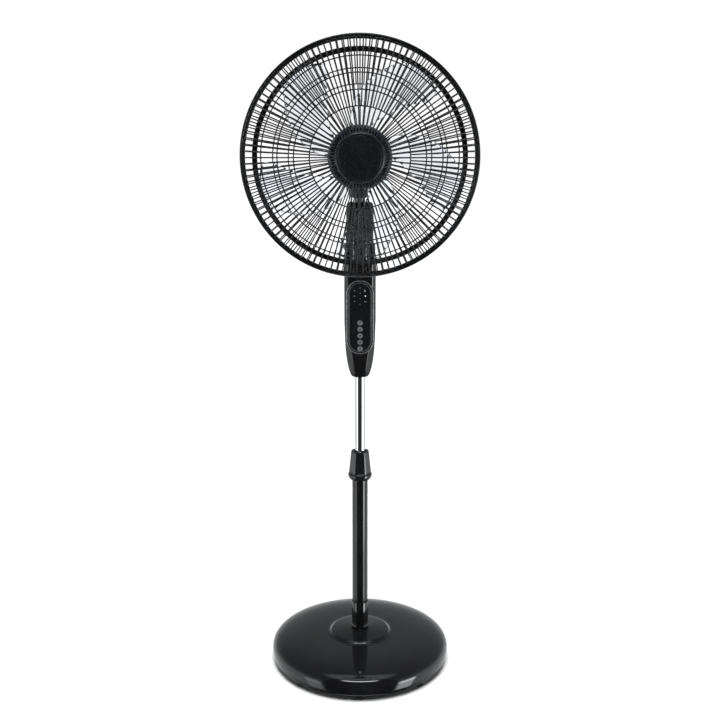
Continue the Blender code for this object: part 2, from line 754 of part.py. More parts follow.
def make_motor_inside():
    bore = SHAFT_RADIUS + GAP
    face_forwards(ring("stator_core", 0.0205, 0.0450, 0.004, 0.036, STEEL, TUBE_STEPS))
    face_forwards(ring("front_winding", 0.0240, 0.0400, 0.0363, 0.0405, COPPER, 20))
    face_forwards(ring("rear_winding", 0.0240, 0.0400, -0.0065, 0.0037, COPPER, 20))
    shield = [
        (0.0113, -0.0055),
        (0.0140, -0.0055),
        (0.0140, -0.0078),
        (0.0453, -0.0078),
        (0.0453, 0.0300),
        (0.0478, 0.0300),
        (0.0478, -0.0103),
        (0.0113, -0.0103),
    ]
    face_forwards(turned("motor_end_shield", shield, STEEL, TUBE_STEPS))
    face_forwards(ring("front_bearing", bore, 0.0110, 0.0533, 0.0613, STEEL, SMALL_STEPS))
    face_forwards(ring("rear_bearing", bore, 0.0110, -0.0103, -0.0043, STEEL, SMALL_STEPS))
    face_forwards(disc("motor_shaft", SHAFT_RADIUS, -0.020, 0.157, STEEL, 12))
    face_forwards(ring("rotor_core", bore, 0.0198, 0.002, 0.038, STEEL, 20))


def blade_point(across, along):
    """A point of one blade: across runs -1 to 1 from trailing to leading edge, along 0 to 1 outwards."""
    root, middle, tip = BLADE_HALF_ANGLES
    bow = 4 * along * (1 - along)
    half_angle = root + (tip - root) * along + (middle - (root + tip) / 2) * bow
    rounding = 0.10 * across**4
    radius = BLADE_ROOT_RADIUS + (BLADE_TIP_RADIUS - BLADE_ROOT_RADIUS) * along * (1 - rounding * along)
    angle = -math.pi / 2 + BLADE_SWEEP * (1 - along) ** 1.2 - half_angle * across
    half_depth = BLADE_HALF_DEPTHS[0] + (BLADE_HALF_DEPTHS[1] - BLADE_HALF_DEPTHS[0]) * along
    forward = BLADE_MIDDLE - half_depth * across - BLADE_CAMBER * (1 - across**2) * along
    return (radius * math.cos(angle), radius * math.sin(angle), forward)


def make_blade():
    """A cup-shaped hub with swept blades, all one moulding, and the nut that holds it on the shaft."""
    bore = SHAFT_RADIUS + GAP
    hub = [
        (bore, HUB_FRONT),
        (0.0450, HUB_FRONT),
        (0.0570, HUB_FRONT - 0.003),
        (HUB_RADIUS, HUB_FRONT - 0.010),
        (HUB_RADIUS, HUB_REAR),
        (HUB_RADIUS - HUB_WALL, HUB_REAR),
        (HUB_RADIUS - HUB_WALL, HUB_FRONT - 0.011),
        (0.0540, HUB_FRONT - HUB_WALL - 0.002),
        (0.0120, HUB_FRONT - HUB_WALL),
        (0.0120, 0.105),
        (bore, 0.105),
    ]
    blade = face_forwards(turned("fan_blade", hub, SMOKE_BLUE, 30))
    columns, rows = 5, 7
    shape = bmesh.new()
    for k in range(BLADE_COUNT):
        before = set(shape.verts)
        bmesh.ops.create_grid(shape, x_segments=columns, y_segments=rows, size=1.0)
        turn = 2 * math.pi * k / BLADE_COUNT
        for vertex in set(shape.verts) - before:
            x, y, forward = blade_point(vertex.co.x, (vertex.co.y + 1) / 2)
            vertex.co.x = x * math.cos(turn) - y * math.sin(turn)
            vertex.co.y = x * math.sin(turn) + y * math.cos(turn)
            vertex.co.z = forward
    mesh = bpy.data.meshes.new("blade_surfaces")
    shape.to_mesh(mesh)
    shape.free()
    blades = face_forwards(add("blade_surfaces", mesh, None))
    skin = blades.modifiers.new("Thickness", "SOLIDIFY")
    skin.thickness = BLADE_THICKNESS
    skin.offset = 0
    combine(blade, blades, "UNION")
    nut = [
        (0, 0.1620),
        (0.0090, 0.1610),
        (0.0150, 0.1560),
        (0.0165, HUB_FRONT + GAP),
        (bore, HUB_FRONT + GAP),
        (bore, 0.1575),
        (0, 0.1575),
    ]
    face_forwards(turned("blade_nut", nut, SATIN_BLACK, SMALL_STEPS, solid=True))


def wire_cage(name, profile):
    """A grille of spokes and rings: a turned sheet whose edges are made into wires."""
    mesh = bpy.data.meshes.new(name)
    edges = [(i, i + 1) for i in range(len(profile) - 1)]
    mesh.from_pydata([(r, 0, forward) for r, forward in profile], edges, [])
    cage = face_forwards(add(name, mesh, WIRE_BLACK))
    screw = cage.modifiers.new("Turn", "SCREW")
    screw.steps = GUARD_SPOKES
    screw.render_steps = GUARD_SPOKES
    screw.use_merge_vertices = False
    wires = cage.modifiers.new("Wires", "WIREFRAME")
    wires.thickness = GUARD_WIRE
    wires.use_even_offset = False
    wires.use_boundary = True


def make_guards():
    front = ((0.0430, 0.1765), (0.0920, 0.1785), (0.1210, 0.1780), (0.1510, 0.1765), (0.1810, 0.1725))
    wire_cage("front_guard", (*front, (RIM_WIRE_RADIUS, 0.1222)))
    rear = ((0.0240, 0.0530), (0.0575, 0.0545), (0.1390, 0.0595), (0.1690, 0.0620), (0.1990, 0.0645))
    wire_cage("rear_guard", (*rear, (0.2070, 0.0665), (RIM_WIRE_RADIUS, 0.1175)))
    face_forwards(ring("rear_guard_nut", 0.0193, 0.0330, 0.0555, 0.0630, SATIN_BLACK))
    hoop = [
        (0.2160, 0.1295),
        (0.2225, 0.1295),
        (GUARD_RADIUS, 0.1265),
        (GUARD_RADIUS, 0.1110),
        (0.2188, 0.1110),
        (0.2188, 0.1132),
        (0.2228, 0.1132),
        (0.2228, 0.1275),
        (0.2160, 0.1275),
    ]
    face_forwards(turned("guard_hoop", hoop, WIRE_BLACK, 52))
    cap = [
        (0, 0.1880),
        (0.0395, 0.1880),
        (0.0430, 0.1868),
        (CAP_RADIUS, 0.1835),
        (CAP_RADIUS, 0.1785),
        (0.0435, 0.1785),
        (0.0435, 0.1820),
        (0, 0.1820),
    ]
    face_forwards(turned("front_cap", cap, SATIN_BLACK, HEAD_STEPS, solid=True))


make_base()
make_pole()
make_collar()
make_housing()
make_tilt_bracket()
make_panel()
make_neck()
make_swing_drive()
make_motor_shell()
make_motor_inside()
make_blade()
make_guards()
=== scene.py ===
"""Looks of a free-standing pedestal fan: fine shapes, materials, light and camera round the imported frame."""

from math import acos, cos, exp, pi, radians, sin, sqrt, tan

import bmesh
import bpy
import numpy as np
from mathutils import Matrix, Vector


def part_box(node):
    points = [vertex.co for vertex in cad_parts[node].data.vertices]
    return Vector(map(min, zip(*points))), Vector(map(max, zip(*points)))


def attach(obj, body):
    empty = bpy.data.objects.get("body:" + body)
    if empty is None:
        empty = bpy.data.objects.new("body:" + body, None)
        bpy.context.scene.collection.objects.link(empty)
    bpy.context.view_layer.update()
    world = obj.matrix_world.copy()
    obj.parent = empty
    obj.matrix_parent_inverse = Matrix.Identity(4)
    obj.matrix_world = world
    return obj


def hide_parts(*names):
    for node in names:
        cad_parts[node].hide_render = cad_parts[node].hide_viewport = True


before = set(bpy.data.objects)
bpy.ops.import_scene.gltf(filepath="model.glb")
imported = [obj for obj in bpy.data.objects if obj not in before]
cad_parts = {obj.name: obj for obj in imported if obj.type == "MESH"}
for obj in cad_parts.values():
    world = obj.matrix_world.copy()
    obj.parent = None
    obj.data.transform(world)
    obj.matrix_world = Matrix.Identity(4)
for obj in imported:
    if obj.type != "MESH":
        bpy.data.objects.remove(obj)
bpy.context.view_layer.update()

# Heights above the floor, in metres like every length outside mm()
HEAD_Z = 1.071
TILT_Z = 0.893
SCREW_Z = 0.845
PANEL_Z = 0.753
BUTTON_Z = 0.742
GLAND_Z = 0.690

BUTTON_PITCH = 0.01325
BUTTON_COUNT = 5
BLADE_COUNT = 5
FOOT_COUNT = 8
SHARP = radians(38)


def mm(*values):
    """Numbers or points in millimetres, as a list in metres."""
    return [tuple(part / 1000 for part in value) if isinstance(value, tuple) else value / 1000
            for value in values]


# Materials ---

COAT_ROUGHNESS = 0.05
SPECK_SCALE = 900.0


def new_material(name):
    made = bpy.data.materials.new(name)
    made.use_nodes = True
    return made, made.node_tree, made.node_tree.nodes["Principled BSDF"]


def set_inputs(node, **values):
    """Sets a node's sockets by name, with an underscore for each space."""
    for socket, value in values.items():
        node.inputs[socket.replace("_", " ")].default_value = value


def noise(tree, scale, detail=3.0, roughness=0.5, stretch=None):
    """The value of a noise texture in the object's own metres, so that the grain has a real size."""
    source = tree.nodes.new("ShaderNodeTexCoord").outputs["Object"]
    if stretch:
        mapping = tree.nodes.new("ShaderNodeMapping")
        set_inputs(mapping, Scale=stretch)
        tree.links.new(source, mapping.inputs["Vector"])
        source = mapping.outputs["Vector"]
    texture = tree.nodes.new("ShaderNodeTexNoise")
    set_inputs(texture, Scale=scale, Detail=detail, Roughness=roughness)
    tree.links.new(source, texture.inputs["Vector"])
    return texture.outputs["Fac"]


def ranged(tree, source, low, high, first=0.0, last=1.0):
    """A value mapped from low..high to first..last."""
    node = tree.nodes.new("ShaderNodeMapRange")
    set_inputs(node, From_Min=low, From_Max=high, To_Min=first, To_Max=last)
    tree.links.new(source, node.inputs["Value"])
    return node.outputs["Result"]


def roughen(tree, texture, limits, shader):
    """Lets a texture's value move the roughness between two limits."""
    tree.links.new(ranged(tree, texture, 0.3, 0.7, *limits), shader.inputs["Roughness"])


def tint(tree, texture, dark, light, shader, start=0.35, end=0.65):
    """Lets a texture's value move the base colour from dark to light."""
    ramp = tree.nodes.new("ShaderNodeValToRGB")
    for element, position, colour in zip(ramp.color_ramp.elements, (start, end), (dark, light)):
        element.position = position
        element.color = (*colour, 1)
    tree.links.new(texture, ramp.inputs["Fac"])
    tree.links.new(ramp.outputs["Color"], shader.inputs["Base Color"])


def bump(tree, texture, strength, distance, shader):
    node = tree.nodes.new("ShaderNodeBump")
    set_inputs(node, Strength=strength, Distance=distance)
    tree.links.new(texture, node.inputs["Height"])
    tree.links.new(node.outputs["Normal"], shader.inputs["Normal"])


def surface(name, dark, light, rough, grain, metallic=0.0, coat=0.0, colour_scale=30.0, specular=0.5,
            wear=None):
    """A moulded or painted surface: uneven colour, uneven gloss and a fine grain of real size.

    dark and light are colours in thousandths, rough is (smoothest, roughest), and grain is
    (noise scale per metre, bump distance in micrometres).
    wear is (colour, share), for lighter specks and rubbed places.
    """
    made, tree, shader = new_material(name)
    set_inputs(shader, Metallic=metallic, Specular_IOR_Level=specular, Coat_Weight=coat,
               Coat_Roughness=COAT_ROUGHNESS)
    dark, light = ([part / 1000 for part in colour] for colour in (dark, light))
    tint(tree, noise(tree, colour_scale, 4.0, 0.6), dark, light, shader)
    roughen(tree, noise(tree, colour_scale * 2.7, 5.0, 0.65), rough, shader)
    bump(tree, noise(tree, grain[0], 2.0), 0.5, grain[1] / 1e6, shader)
    if wear:
        colour, share = wear
        mask = ranged(tree, noise(tree, SPECK_SCALE, 2.0), 1 - share, 1 - share + 0.08)
        mix = tree.nodes.new("ShaderNodeMix")
        mix.data_type = "RGBA"
        mix.inputs[7].default_value = (*[part / 1000 for part in colour], 1)
        base = shader.inputs["Base Color"]
        tree.links.new(base.links[0].from_socket, mix.inputs[6])
        tree.links.new(mask, mix.inputs["Factor"])
        tree.links.new(mix.outputs[2], base)
    return made


def wave_material(name, dark, light, rough, scale, direction):
    """Regular fine lines on metal, for laminations, windings and turned parts."""
    made, tree, shader = new_material(name)
    set_inputs(shader, Metallic=1.0)
    wave = tree.nodes.new("ShaderNodeTexWave")
    wave.bands_direction = direction
    set_inputs(wave, Scale=scale, Distortion=0.6, Detail=2.0)
    tree.links.new(tree.nodes.new("ShaderNodeTexCoord").outputs["Object"], wave.inputs["Vector"])
    tint(tree, wave.outputs["Fac"], dark, light, shader, 0.2, 0.8)
    bump(tree, wave.outputs["Fac"], 0.6, 0.0002, shader)
    roughen(tree, noise(tree, 60.0), rough, shader)
    return made


def chrome_material():
    """Chrome plate on drawn tube, with faint lines along it and a trace of haze."""
    made, tree, shader = new_material("Bright_Chrome")
    set_inputs(shader, Metallic=1.0)
    lines = noise(tree, 260.0, 3.0, 0.6, stretch=(1.0, 1.0, 0.02))
    tint(tree, lines, (0.72, 0.74, 0.75), (0.86, 0.87, 0.88), shader)
    roughen(tree, noise(tree, 25.0, 4.0, 0.6), (0.035, 0.085), shader)
    bump(tree, lines, 0.15, 0.00002, shader)
    return made


def smoke_material():
    """Translucent smoke blue polystyrene, with flow marks and a little haze."""
    made, tree, shader = new_material("Smoke_Blue_Translucent")
    set_inputs(shader, IOR=1.30, Transmission_Weight=1.0)
    flow = noise(tree, 14.0, 4.0, 0.55, stretch=(1.0, 0.4, 1.0))
    tint(tree, flow, (0.775, 0.815, 0.860), (0.840, 0.870, 0.905), shader)
    roughen(tree, noise(tree, 70.0, 4.0, 0.6), (0.03, 0.08), shader)
    bump(tree, noise(tree, 420.0, 2.0), 0.2, 0.00004, shader)
    return made


def lens_material(name, colour, glow):
    made, tree, shader = new_material(name)
    set_inputs(shader, Emission_Color=(*colour, 1), Emission_Strength=glow)
    cloud = noise(tree, 900.0, 2.0)
    tint(tree, cloud, [part * 0.8 for part in colour], colour, shader)
    roughen(tree, cloud, (0.18, 0.32), shader)
    bump(tree, cloud, 0.3, 0.00003, shader)
    return made


HUB = surface("Smoke_Blue_Hub", (6, 9, 16), (9, 13, 22), (0.14, 0.24), (500, 20), coat=0.2)
GLOSS = surface("Gloss_Black_ABS", (6, 6.2, 7), (9.5, 9.8, 10.8), (0.035, 0.085), (240, 10), coat=0.4,
                colour_scale=9)
PANEL = surface("Panel_Black_Acrylic", (8.5, 9.2, 10.5), (12, 12.8, 14.2), (0.12, 0.20), (900, 3), coat=0.15)
# The bezel rims are glossy black plastic: these silver and bluish grey colours are painted highlight, standing
# in for the reflection lines along the outer and inner rims.
PAINTED_RIM_HIGHLIGHT = surface("Bezel_Painted_Highlight_Outer", (240, 240, 235), (320, 320, 310), (0.22, 0.34), (1500, 4),
               metallic=0.45, colour_scale=60)
PAINTED_INNER_RIM_HIGHLIGHT = surface("Bezel_Painted_Highlight_Inner", (115, 122, 136), (155, 163, 178), (0.16, 0.28), (1500, 4),
                    metallic=0.25, colour_scale=60)
SATIN = surface("Satin_Black_Moulding", (7, 7.8, 9.2), (11, 11.8, 13.4), (0.24, 0.36), (2600, 8),
                colour_scale=24, wear=((30, 31, 33), 0.28))
PAINT = surface("Black_Powder_Coat_Tube", (6.5, 6.7, 7.4), (10, 10.2, 10.8), (0.10, 0.18), (950, 12),
                coat=0.25, colour_scale=18)
WIRE = surface("Black_Coated_Wire", (8.5, 8.8, 9.6), (13.5, 13.8, 14.8), (0.22, 0.34), (700, 20),
               colour_scale=35, specular=0.6)
BAND = surface("Black_Sheet_Band", (5, 5.2, 5.8), (8.5, 8.7, 9.2), (0.30, 0.45), (900, 10))
CAP = surface("Cap_Satin_Black", (6.5, 7.5, 9.2), (9.5, 10.6, 12.5), (0.22, 0.32), (1800, 3), colour_scale=26)
HOOP = surface("Hoop_Black_Moulding", (7.5, 8.2, 9.5), (11, 11.8, 13.2), (0.13, 0.22), (1600, 4), coat=0.3,
               specular=0.7)
GRIP = surface("Collar_Black_Moulding", (8, 9, 10.8), (11.5, 12.6, 14.6), (0.12, 0.20), (1400, 5), coat=0.3,
               colour_scale=40, specular=0.6)
RUBBER = surface("Black_Rubber", (6, 6, 6.2), (12, 12, 12.2), (0.62, 0.82), (1400, 90), colour_scale=90,
                 specular=0.3)
SILVER = surface("Satin_Silver_Button", (270, 280, 295), (360, 370, 385), (0.24, 0.36), (2200, 5),
                 metallic=0.40, colour_scale=150)
MARK = surface("Button_Mark_Grey", (20, 21, 23), (35, 36, 38), (0.40, 0.55), (2200, 15), colour_scale=200)
STEEL = surface("Zinc_Plated_Steel", (360, 370, 380), (540, 550, 570), (0.26, 0.44), (800, 40),
                metallic=1.0, colour_scale=110)
DIE_CAST = surface("Die_Cast_Aluminium", (220, 220, 230), (360, 360, 370), (0.42, 0.60), (600, 150),
                   metallic=0.9, colour_scale=60)
CAST_IRON = surface("Rough_Cast_Iron", (35, 34, 33), (75, 72, 68), (0.60, 0.85), (420, 500), metallic=0.6,
                    colour_scale=45)
NYLON = surface("Natural_Nylon", (460, 450, 410), (600, 590, 550), (0.38, 0.52), (700, 40), colour_scale=70)
BOARD = surface("Circuit_Board_Green", (6, 60, 22), (14, 130, 50), (0.28, 0.50), (1500, 80), coat=0.4,
                colour_scale=160)
COPPER = wave_material("Enamelled_Copper_Wire", (0.20, 0.07, 0.03), (0.62, 0.28, 0.12), (0.25, 0.40), 160,
                       "X")
CORE = wave_material("Laminated_Core_Steel", (0.16, 0.15, 0.15), (0.40, 0.39, 0.38), (0.40, 0.58), 280, "Y")
TURNED = wave_material("Turned_Shaft_Steel", (0.42, 0.43, 0.44), (0.60, 0.61, 0.62), (0.20, 0.32), 420, "Y")
CHROME = chrome_material()
SMOKE = smoke_material()
LENS = lens_material("Indicator_Lens_Grey", (0.17, 0.18, 0.19), 0.15)
LIT_LENS = lens_material("Indicator_Lens_Lit", (0.80, 0.86, 0.90), 0.7)
PALE_LENS = lens_material("Indicator_Lens_Pale", (0.42, 0.45, 0.48), 0.4)


# Mesh tools ---


def new_object(name, data):
    obj = bpy.data.objects.new(name, data)
    bpy.context.scene.collection.objects.link(obj)
    return obj


def mesh_from(shape, name):
    bmesh.ops.remove_doubles(shape, verts=shape.verts, dist=0.000002)
    bmesh.ops.recalc_face_normals(shape, faces=shape.faces)
    mesh = bpy.data.meshes.new(name)
    shape.to_mesh(mesh)
    shape.free()
    return mesh


def shade(mesh, sharp=SHARP):
    """Shades a mesh smooth, with hard edges where faces meet at more than an angle."""
    for polygon in mesh.polygons:
        polygon.use_smooth = True
    mesh.set_sharp_from_angle(angle=sharp)


def finish(name, shape, material, body, replaced=(), sharp=SHARP):
    """Makes a piece of a shape: it rides on a body and may stand in for CAD nodes."""
    mesh = mesh_from(shape, name)
    mesh.materials.append(material)
    obj = new_object(name, mesh)
    shade(mesh, sharp)
    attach(obj, body)
    if replaced:
        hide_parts(*replaced)
    return obj


def cut(obj, shape):
    """Cuts a shape out of a piece."""
    cutter = new_object("cutter", mesh_from(shape, "cutter"))
    modifier = obj.modifiers.new("Cut", "BOOLEAN")
    modifier.operation = "DIFFERENCE"
    modifier.solver = "EXACT"
    modifier.object = cutter
    bpy.context.view_layer.update()
    graph = bpy.context.evaluated_depsgraph_get()
    mesh = bpy.data.meshes.new_from_object(obj.evaluated_get(graph))
    obj.modifiers.remove(modifier)
    obj.data = mesh
    bpy.data.objects.remove(cutter, do_unlink=True)
    shade(mesh)


def fillet(points, radius, steps=4, closed=True):
    """Rounds each corner of a profile, by less where its sides are short."""
    count = len(points)
    made = []
    for k, point in enumerate(points):
        if not closed and k in (0, count - 1):
            made.append(point)
            continue
        here = Vector(point)
        before = Vector(points[k - 1]) - here
        after = Vector(points[(k + 1) % count]) - here
        turn = before.angle(after)
        size = radius[k] if isinstance(radius, list) else radius
        if size <= 0 or turn > radians(172):
            made.append(point)
            continue
        length = min(size / tan(turn / 2), before.length * 0.45, after.length * 0.45)
        start = here + before.normalized() * length
        end = here + after.normalized() * length
        for step in range(steps + 1):
            t = step / steps
            spot = start * (1 - t) ** 2 + here * 2 * t * (1 - t) + end * t * t
            made.append((spot.x, spot.y))
    return made


def upright(x, y, h):
    return (x, y, h)


def on_head(x, y, f):
    """A point of the head: x to the right, y up, f metres in front of the pole axis."""
    return (x, -f, y + HEAD_Z)


def on_panel(x, y, f):
    return (x, -f, y + PANEL_Z)


def on_back(height):
    """Places a turned shape on an axis that points backwards at a height."""
    return lambda x, y, h: (x, h, y + height)


def on_button(k):
    return lambda x, y, f: (x, -f, y + BUTTON_Z - BUTTON_PITCH * k)


def along_x(x, y, h):
    """A point on the axis of the tilt bolt."""
    return (h, x, y + TILT_Z)


def turns(count, offset=0.0):
    """Angles evenly spread over a full turn."""
    return [2 * pi * (k + offset) / count for k in range(count)]


def round_row(radii, height, place=upright):
    """Points round an axis, one for each radius."""
    return [place(r * cos(a), r * sin(a), height) for r, a in zip(radii, turns(len(radii)))]


def add_grid(shape, rows, capped=False):
    """Faces between closed rows of points that already lie in order."""
    made = [[shape.verts.new(p) for p in row] for row in rows]
    count = len(made[0])
    for first, second in zip(made, made[1:]):
        for k in range(count):
            n = (k + 1) % count
            shape.faces.new((first[k], first[n], second[n], second[k]))
    if capped:
        shape.faces.new(list(reversed(made[0])))
        shape.faces.new(made[-1])
    return made


def add_lathe(shape, profile, steps, place, closed=True):
    """Turns (radius, height) points. A point on the axis becomes one vertex."""
    rows = []
    for radius, height in profile:
        if radius < 1e-6:
            rows.append([shape.verts.new(place(0, 0, height))])
        else:
            rows.append([shape.verts.new(p) for p in round_row([radius] * steps, height, place)])
    pairs = list(zip(rows, rows[1:]))
    if closed:
        pairs.append((rows[-1], rows[0]))
    for first, second in pairs:
        for k in range(steps):
            n = (k + 1) % steps
            if len(first) == 1 and len(second) == 1:
                continue
            if len(first) == 1:
                shape.faces.new((first[0], second[n], second[k]))
            elif len(second) == 1:
                shape.faces.new((first[k], first[n], second[0]))
            else:
                shape.faces.new((first[k], first[n], second[n], second[k]))


def lathe(name, profile, material, body, replaced=(), steps=72, place=upright, radius=0.0004,
          closed=True, sharp=SHARP):
    shape = bmesh.new()
    add_lathe(shape, fillet(profile, radius, closed=closed) if radius else profile, steps, place, closed)
    return finish(name, shape, material, body, replaced, sharp)


def add_rod(shape, radius, low, high, steps=32, place=upright):
    """A plain cylinder, to cut a hole with."""
    add_lathe(shape, [(0, low), (radius, low), (radius, high), (0, high)], steps, place, closed=False)


def add_tube(shape, points, radius, sides):
    """A round wire along points, with flat ends."""
    spots = [Vector(p) for p in points]
    last = len(spots) - 1
    rows = []
    side = None
    for k, spot in enumerate(spots):
        tangent = (spots[min(k + 1, last)] - spots[max(k - 1, 0)]).normalized()
        if side is None:
            helper = Vector((0, 0, 1)) if abs(tangent.z) < 0.9 else Vector((1, 0, 0))
            side = tangent.cross(helper).normalized()
        side = (side - tangent * side.dot(tangent)).normalized()
        up = tangent.cross(side)
        rows.append([spot + (side * cos(a) + up * sin(a)) * radius for a in turns(sides, 0.5)])
    add_grid(shape, rows, capped=True)


def add_ring(shape, radius, forward, wire, steps=180):
    """A closed wire ring on the head's axis."""
    section = [(radius + wire * cos(a), forward + wire * sin(a)) for a in turns(8, 0.5)]
    add_lathe(shape, section, steps, on_head)


def add_box(shape, centre, size, turn=Matrix.Identity(4)):
    made = bmesh.ops.create_cube(shape, size=1.0)
    matrix = Matrix.Translation(centre) @ turn @ Matrix.Diagonal((*size, 1.0))
    bmesh.ops.transform(shape, matrix=matrix, verts=made["verts"])


def smooth_line(points, steps):
    """Catmull-Rom points through given ones."""
    spots = [Vector(p) for p in points]
    padded = [spots[0] * 2 - spots[1], *spots, spots[-1] * 2 - spots[-2]]
    made = []
    for k in range(len(spots) - 1):
        a, b, c, d = padded[k:k + 4]
        for step in range(steps):
            t = step / steps
            made.append((b * 2 + (c - a) * t + (a * 2 - b * 5 + c * 4 - d) * t * t
                         + (b * 3 - c * 3 + d - a) * t ** 3) / 2)
    made.append(spots[-1])
    return made


def stadium(width, height, steps=24):
    """The outline of a slot with round ends."""
    radius = width / 2
    straight = height / 2 - radius
    points = []
    for side, start in ((1, 0.0), (-1, pi)):
        for k in range(steps + 1):
            angle = start + pi * k / steps
            points.append((radius * cos(angle), side * straight + radius * sin(angle)))
    return points


def inset(points, distance):
    """Moves an outline inwards, along its own normals."""
    count = len(points)
    made = []
    for k in range(count):
        along = (Vector(points[(k + 1) % count]) - Vector(points[k - 1])).normalized()
        made.append((points[k][0] - along.y * distance, points[k][1] + along.x * distance))
    return made


def inset_rows(outline, profile):
    """Rows on the panel along an outline, for profile points (inset from the outline, forward)."""
    return [[on_panel(x, y, f) for x, y in inset(outline, inwards)] for inwards, f in profile]


def add_moulding(shape, outline, profile):
    """A closed moulding along an outline on the panel."""
    rows = inset_rows(outline, profile)
    add_grid(shape, [*rows, rows[0]])


# Base, pole and collar ---

SKIRT = 0.020
SOCKET_BORE = 0.0168


def dome_line(radius, height, count, inner_radius):
    """The dome's profile from an inner radius to its rim, a quarter of a fourth-power ellipse."""
    last = acos((inner_radius / radius) ** 2)
    line = []
    for k in range(count):
        angle = last * (1 - k / (count - 1))
        line.append((radius * sqrt(cos(angle)), SKIRT + height * sqrt(sin(angle))))
    return line


def make_base():
    boss = [(SOCKET_BORE, 0.0660), *mm((30, 64.8), (55, 63.1), (60.3, 62.4), (63.2, 60.7), (65.5, 58.3))]
    outer = fillet(boss, mm(0, 20, 10, 4, 3, 0), 5, closed=False)
    dome = dome_line(0.189, 0.038, 44, 0.0672)
    rim = fillet(mm((189, 20), (188.6, 17), (187.8, 14), (185, 11)), mm(0, 6, 3, 0), 4, closed=False)[1:]
    under = [*mm((182.5, 11), (183.2, 15)), *dome_line(0.1865, 0.0355, 14, 0.0670)[::-1],
             (0.062, 0.0590), (SOCKET_BORE, 0.0635)]
    lathe("base_dome", outer + dome + rim + under, GLOSS, "stand", ["base_cover"], 160,
          radius=0)
    foot = mm((0, 9.7), (12.5, 9.7), (12.5, 6.2), (10.4, 0), (5.2, 0), (4.6, 0.8), (0, 0.8))
    rounded = fillet(foot, mm(0, 0.6, 1.2, 1, 0.4, 0.3, 0), 3, closed=False)
    for k in range(1, FOOT_COUNT + 1):
        low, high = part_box(f"rubber_foot_{k}")
        centre = (low + high) / 2
        lathe(f"foot_{k}", rounded, RUBBER, "stand", [f"rubber_foot_{k}"], 28,
              place=lambda x, y, h, c=centre: (x + c.x, y + c.y, h), radius=0, closed=False)


def make_pole():
    socket = mm((16.8, 127), (17.6, 127), (17.8, 76), (19, 72.8), (19, 69.4), (18, 66.4), (16.8, 66.4))
    lathe("socket_sleeve", socket, GLOSS, "stand", ["pole_socket"], 96, radius=0.0006)
    outer = mm((15.2, 420), (16.5, 420), (16.5, 12.8), (15.2, 12.8))
    lathe("outer_tube_painted", outer, PAINT, "stand", ["outer_tube"], 96, radius=0.0003)
    inner = mm((9.8, 722), (11, 722), (11, 215), (9.8, 215))
    lathe("inner_tube_chromed", inner, CHROME, "mast", ["inner_tube"], 96, radius=0.0003)
    bush = mm((11.3, 428.3), (16.5, 428.3), (16.5, 420.3), (14.9, 420.3), (14.9, 390), (11.3, 390))
    lathe("slide_bush", bush, NYLON, "stand", ["tube_bush"], 64, radius=0.0003)


FLUTE_SECTOR = pi / 3
FLUTE_HALF_ANGLE = radians(24.5)


def flute_angle(angle):
    """How far a direction lies from the middle of the nearest of the collar's six flutes."""
    return (angle + pi / 2 + FLUTE_SECTOR / 2) % FLUTE_SECTOR - FLUTE_SECTOR / 2


def collar_radius(z, angle):
    """Outside of the collar's grip: a cone with six hollowed flats that end in an arch near the top."""
    cone = np.interp(z, (0.4145, 0.4160, 0.4550, 0.4630, 0.4640), (0.0242, 0.0233, 0.0195, 0.0185, 0.0180))
    local = flute_angle(angle)
    top = 0.4625 - 0.0035 * (abs(local) / (FLUTE_SECTOR / 2)) ** 2
    reach = FLUTE_HALF_ANGLE * min(1.0, max(0.0, (top - z) / 0.0016)) ** 0.5
    foot = min(1.0, max(0.0, (z - 0.4157) / 0.0022))
    if reach <= 0 or foot <= 0:
        return cone
    across = abs(local) / max(reach, 1e-4)
    blend = 1 / (1 + exp((across - 1.0) * 26))
    flat = cone * cos(FLUTE_HALF_ANGLE) / cos(local) - 0.0003
    return cone + (flat - cone) * blend * foot ** 0.5


def make_collar():
    angles = turns(240)
    inside = mm((12.1, 460), (12.1, 449.2), (14.7, 448), (16.3, 434.5), (16.9, 432), (16.9, 403.1))
    flange = mm((21.3, 403.1), (22.2, 404), (24.6, 407.8), (25, 409), (25, 414), (24.7, 414.8))
    rows = [round_row([r] * len(angles), z) for r, z in inside + flange]
    for z in np.linspace(0.4152, 0.4635, 66):
        rows.append(round_row([collar_radius(z, a) for a in angles], z))
    for share in (0.0, 0.35, 0.75, 1.0):
        radius = 0.0179 + (0.0126 - 0.0179) * share
        row = []
        for a in angles:
            top = 0.4640 - 0.0022 * cos(flute_angle(a) * 3) ** 2
            drop = (top - 0.4636) * (1 - share * 0.4) - 0.0022 * share ** 2
            row.append((radius * cos(a), radius * sin(a), 0.4638 + drop))
        rows.append(row)
    shape = bmesh.new()
    add_grid(shape, [*rows, rows[0]])
    finish("collar_grip", shape, GRIP, "collar", ["height_collar"], radians(50))


# Control housing ---

# z, half width, half depth, front corner, rear corner: the corners are distances of 45 degree chamfers
HOUSING = mm(
    (624.5, 13.8, 13.8, 14.5, 14.5),
    (625.5, 15.8, 15.6, 16.6, 16.4),
    (627.5, 17.6, 17.2, 18.4, 18.0),
    (631.0, 19.5, 19.0, 20.5, 20.0),
    (640.0, 22.6, 22.0, 23.8, 23.6),
    (653.0, 25.6, 24.8, 27.2, 28.2),
    (666.0, 27.6, 26.8, 29.6, 31.8),
    (678.0, 29.0, 28.2, 31.8, 34.2),
    (690.0, 29.9, 29.0, 34.4, 35.6),
    (704.0, 30.6, 29.5, 36.6, 36.5),
    (745.0, 32.0, 30.0, 38.8, 38.2),
    (800.0, 32.0, 30.0, 39.0, 38.4),
    (862.0, 32.0, 30.0, 38.8, 38.2),
    (867.0, 31.6, 29.5, 38.0, 37.5),
    (870.0, 30.8, 28.8, 36.8, 36.2),
    (871.7, 29.7, 27.7, 35.2, 34.6),
    (872.4, 28.3, 26.3, 33.4, 32.8),
)
WALL = 0.0024
EDGE_CUT = 0.00042
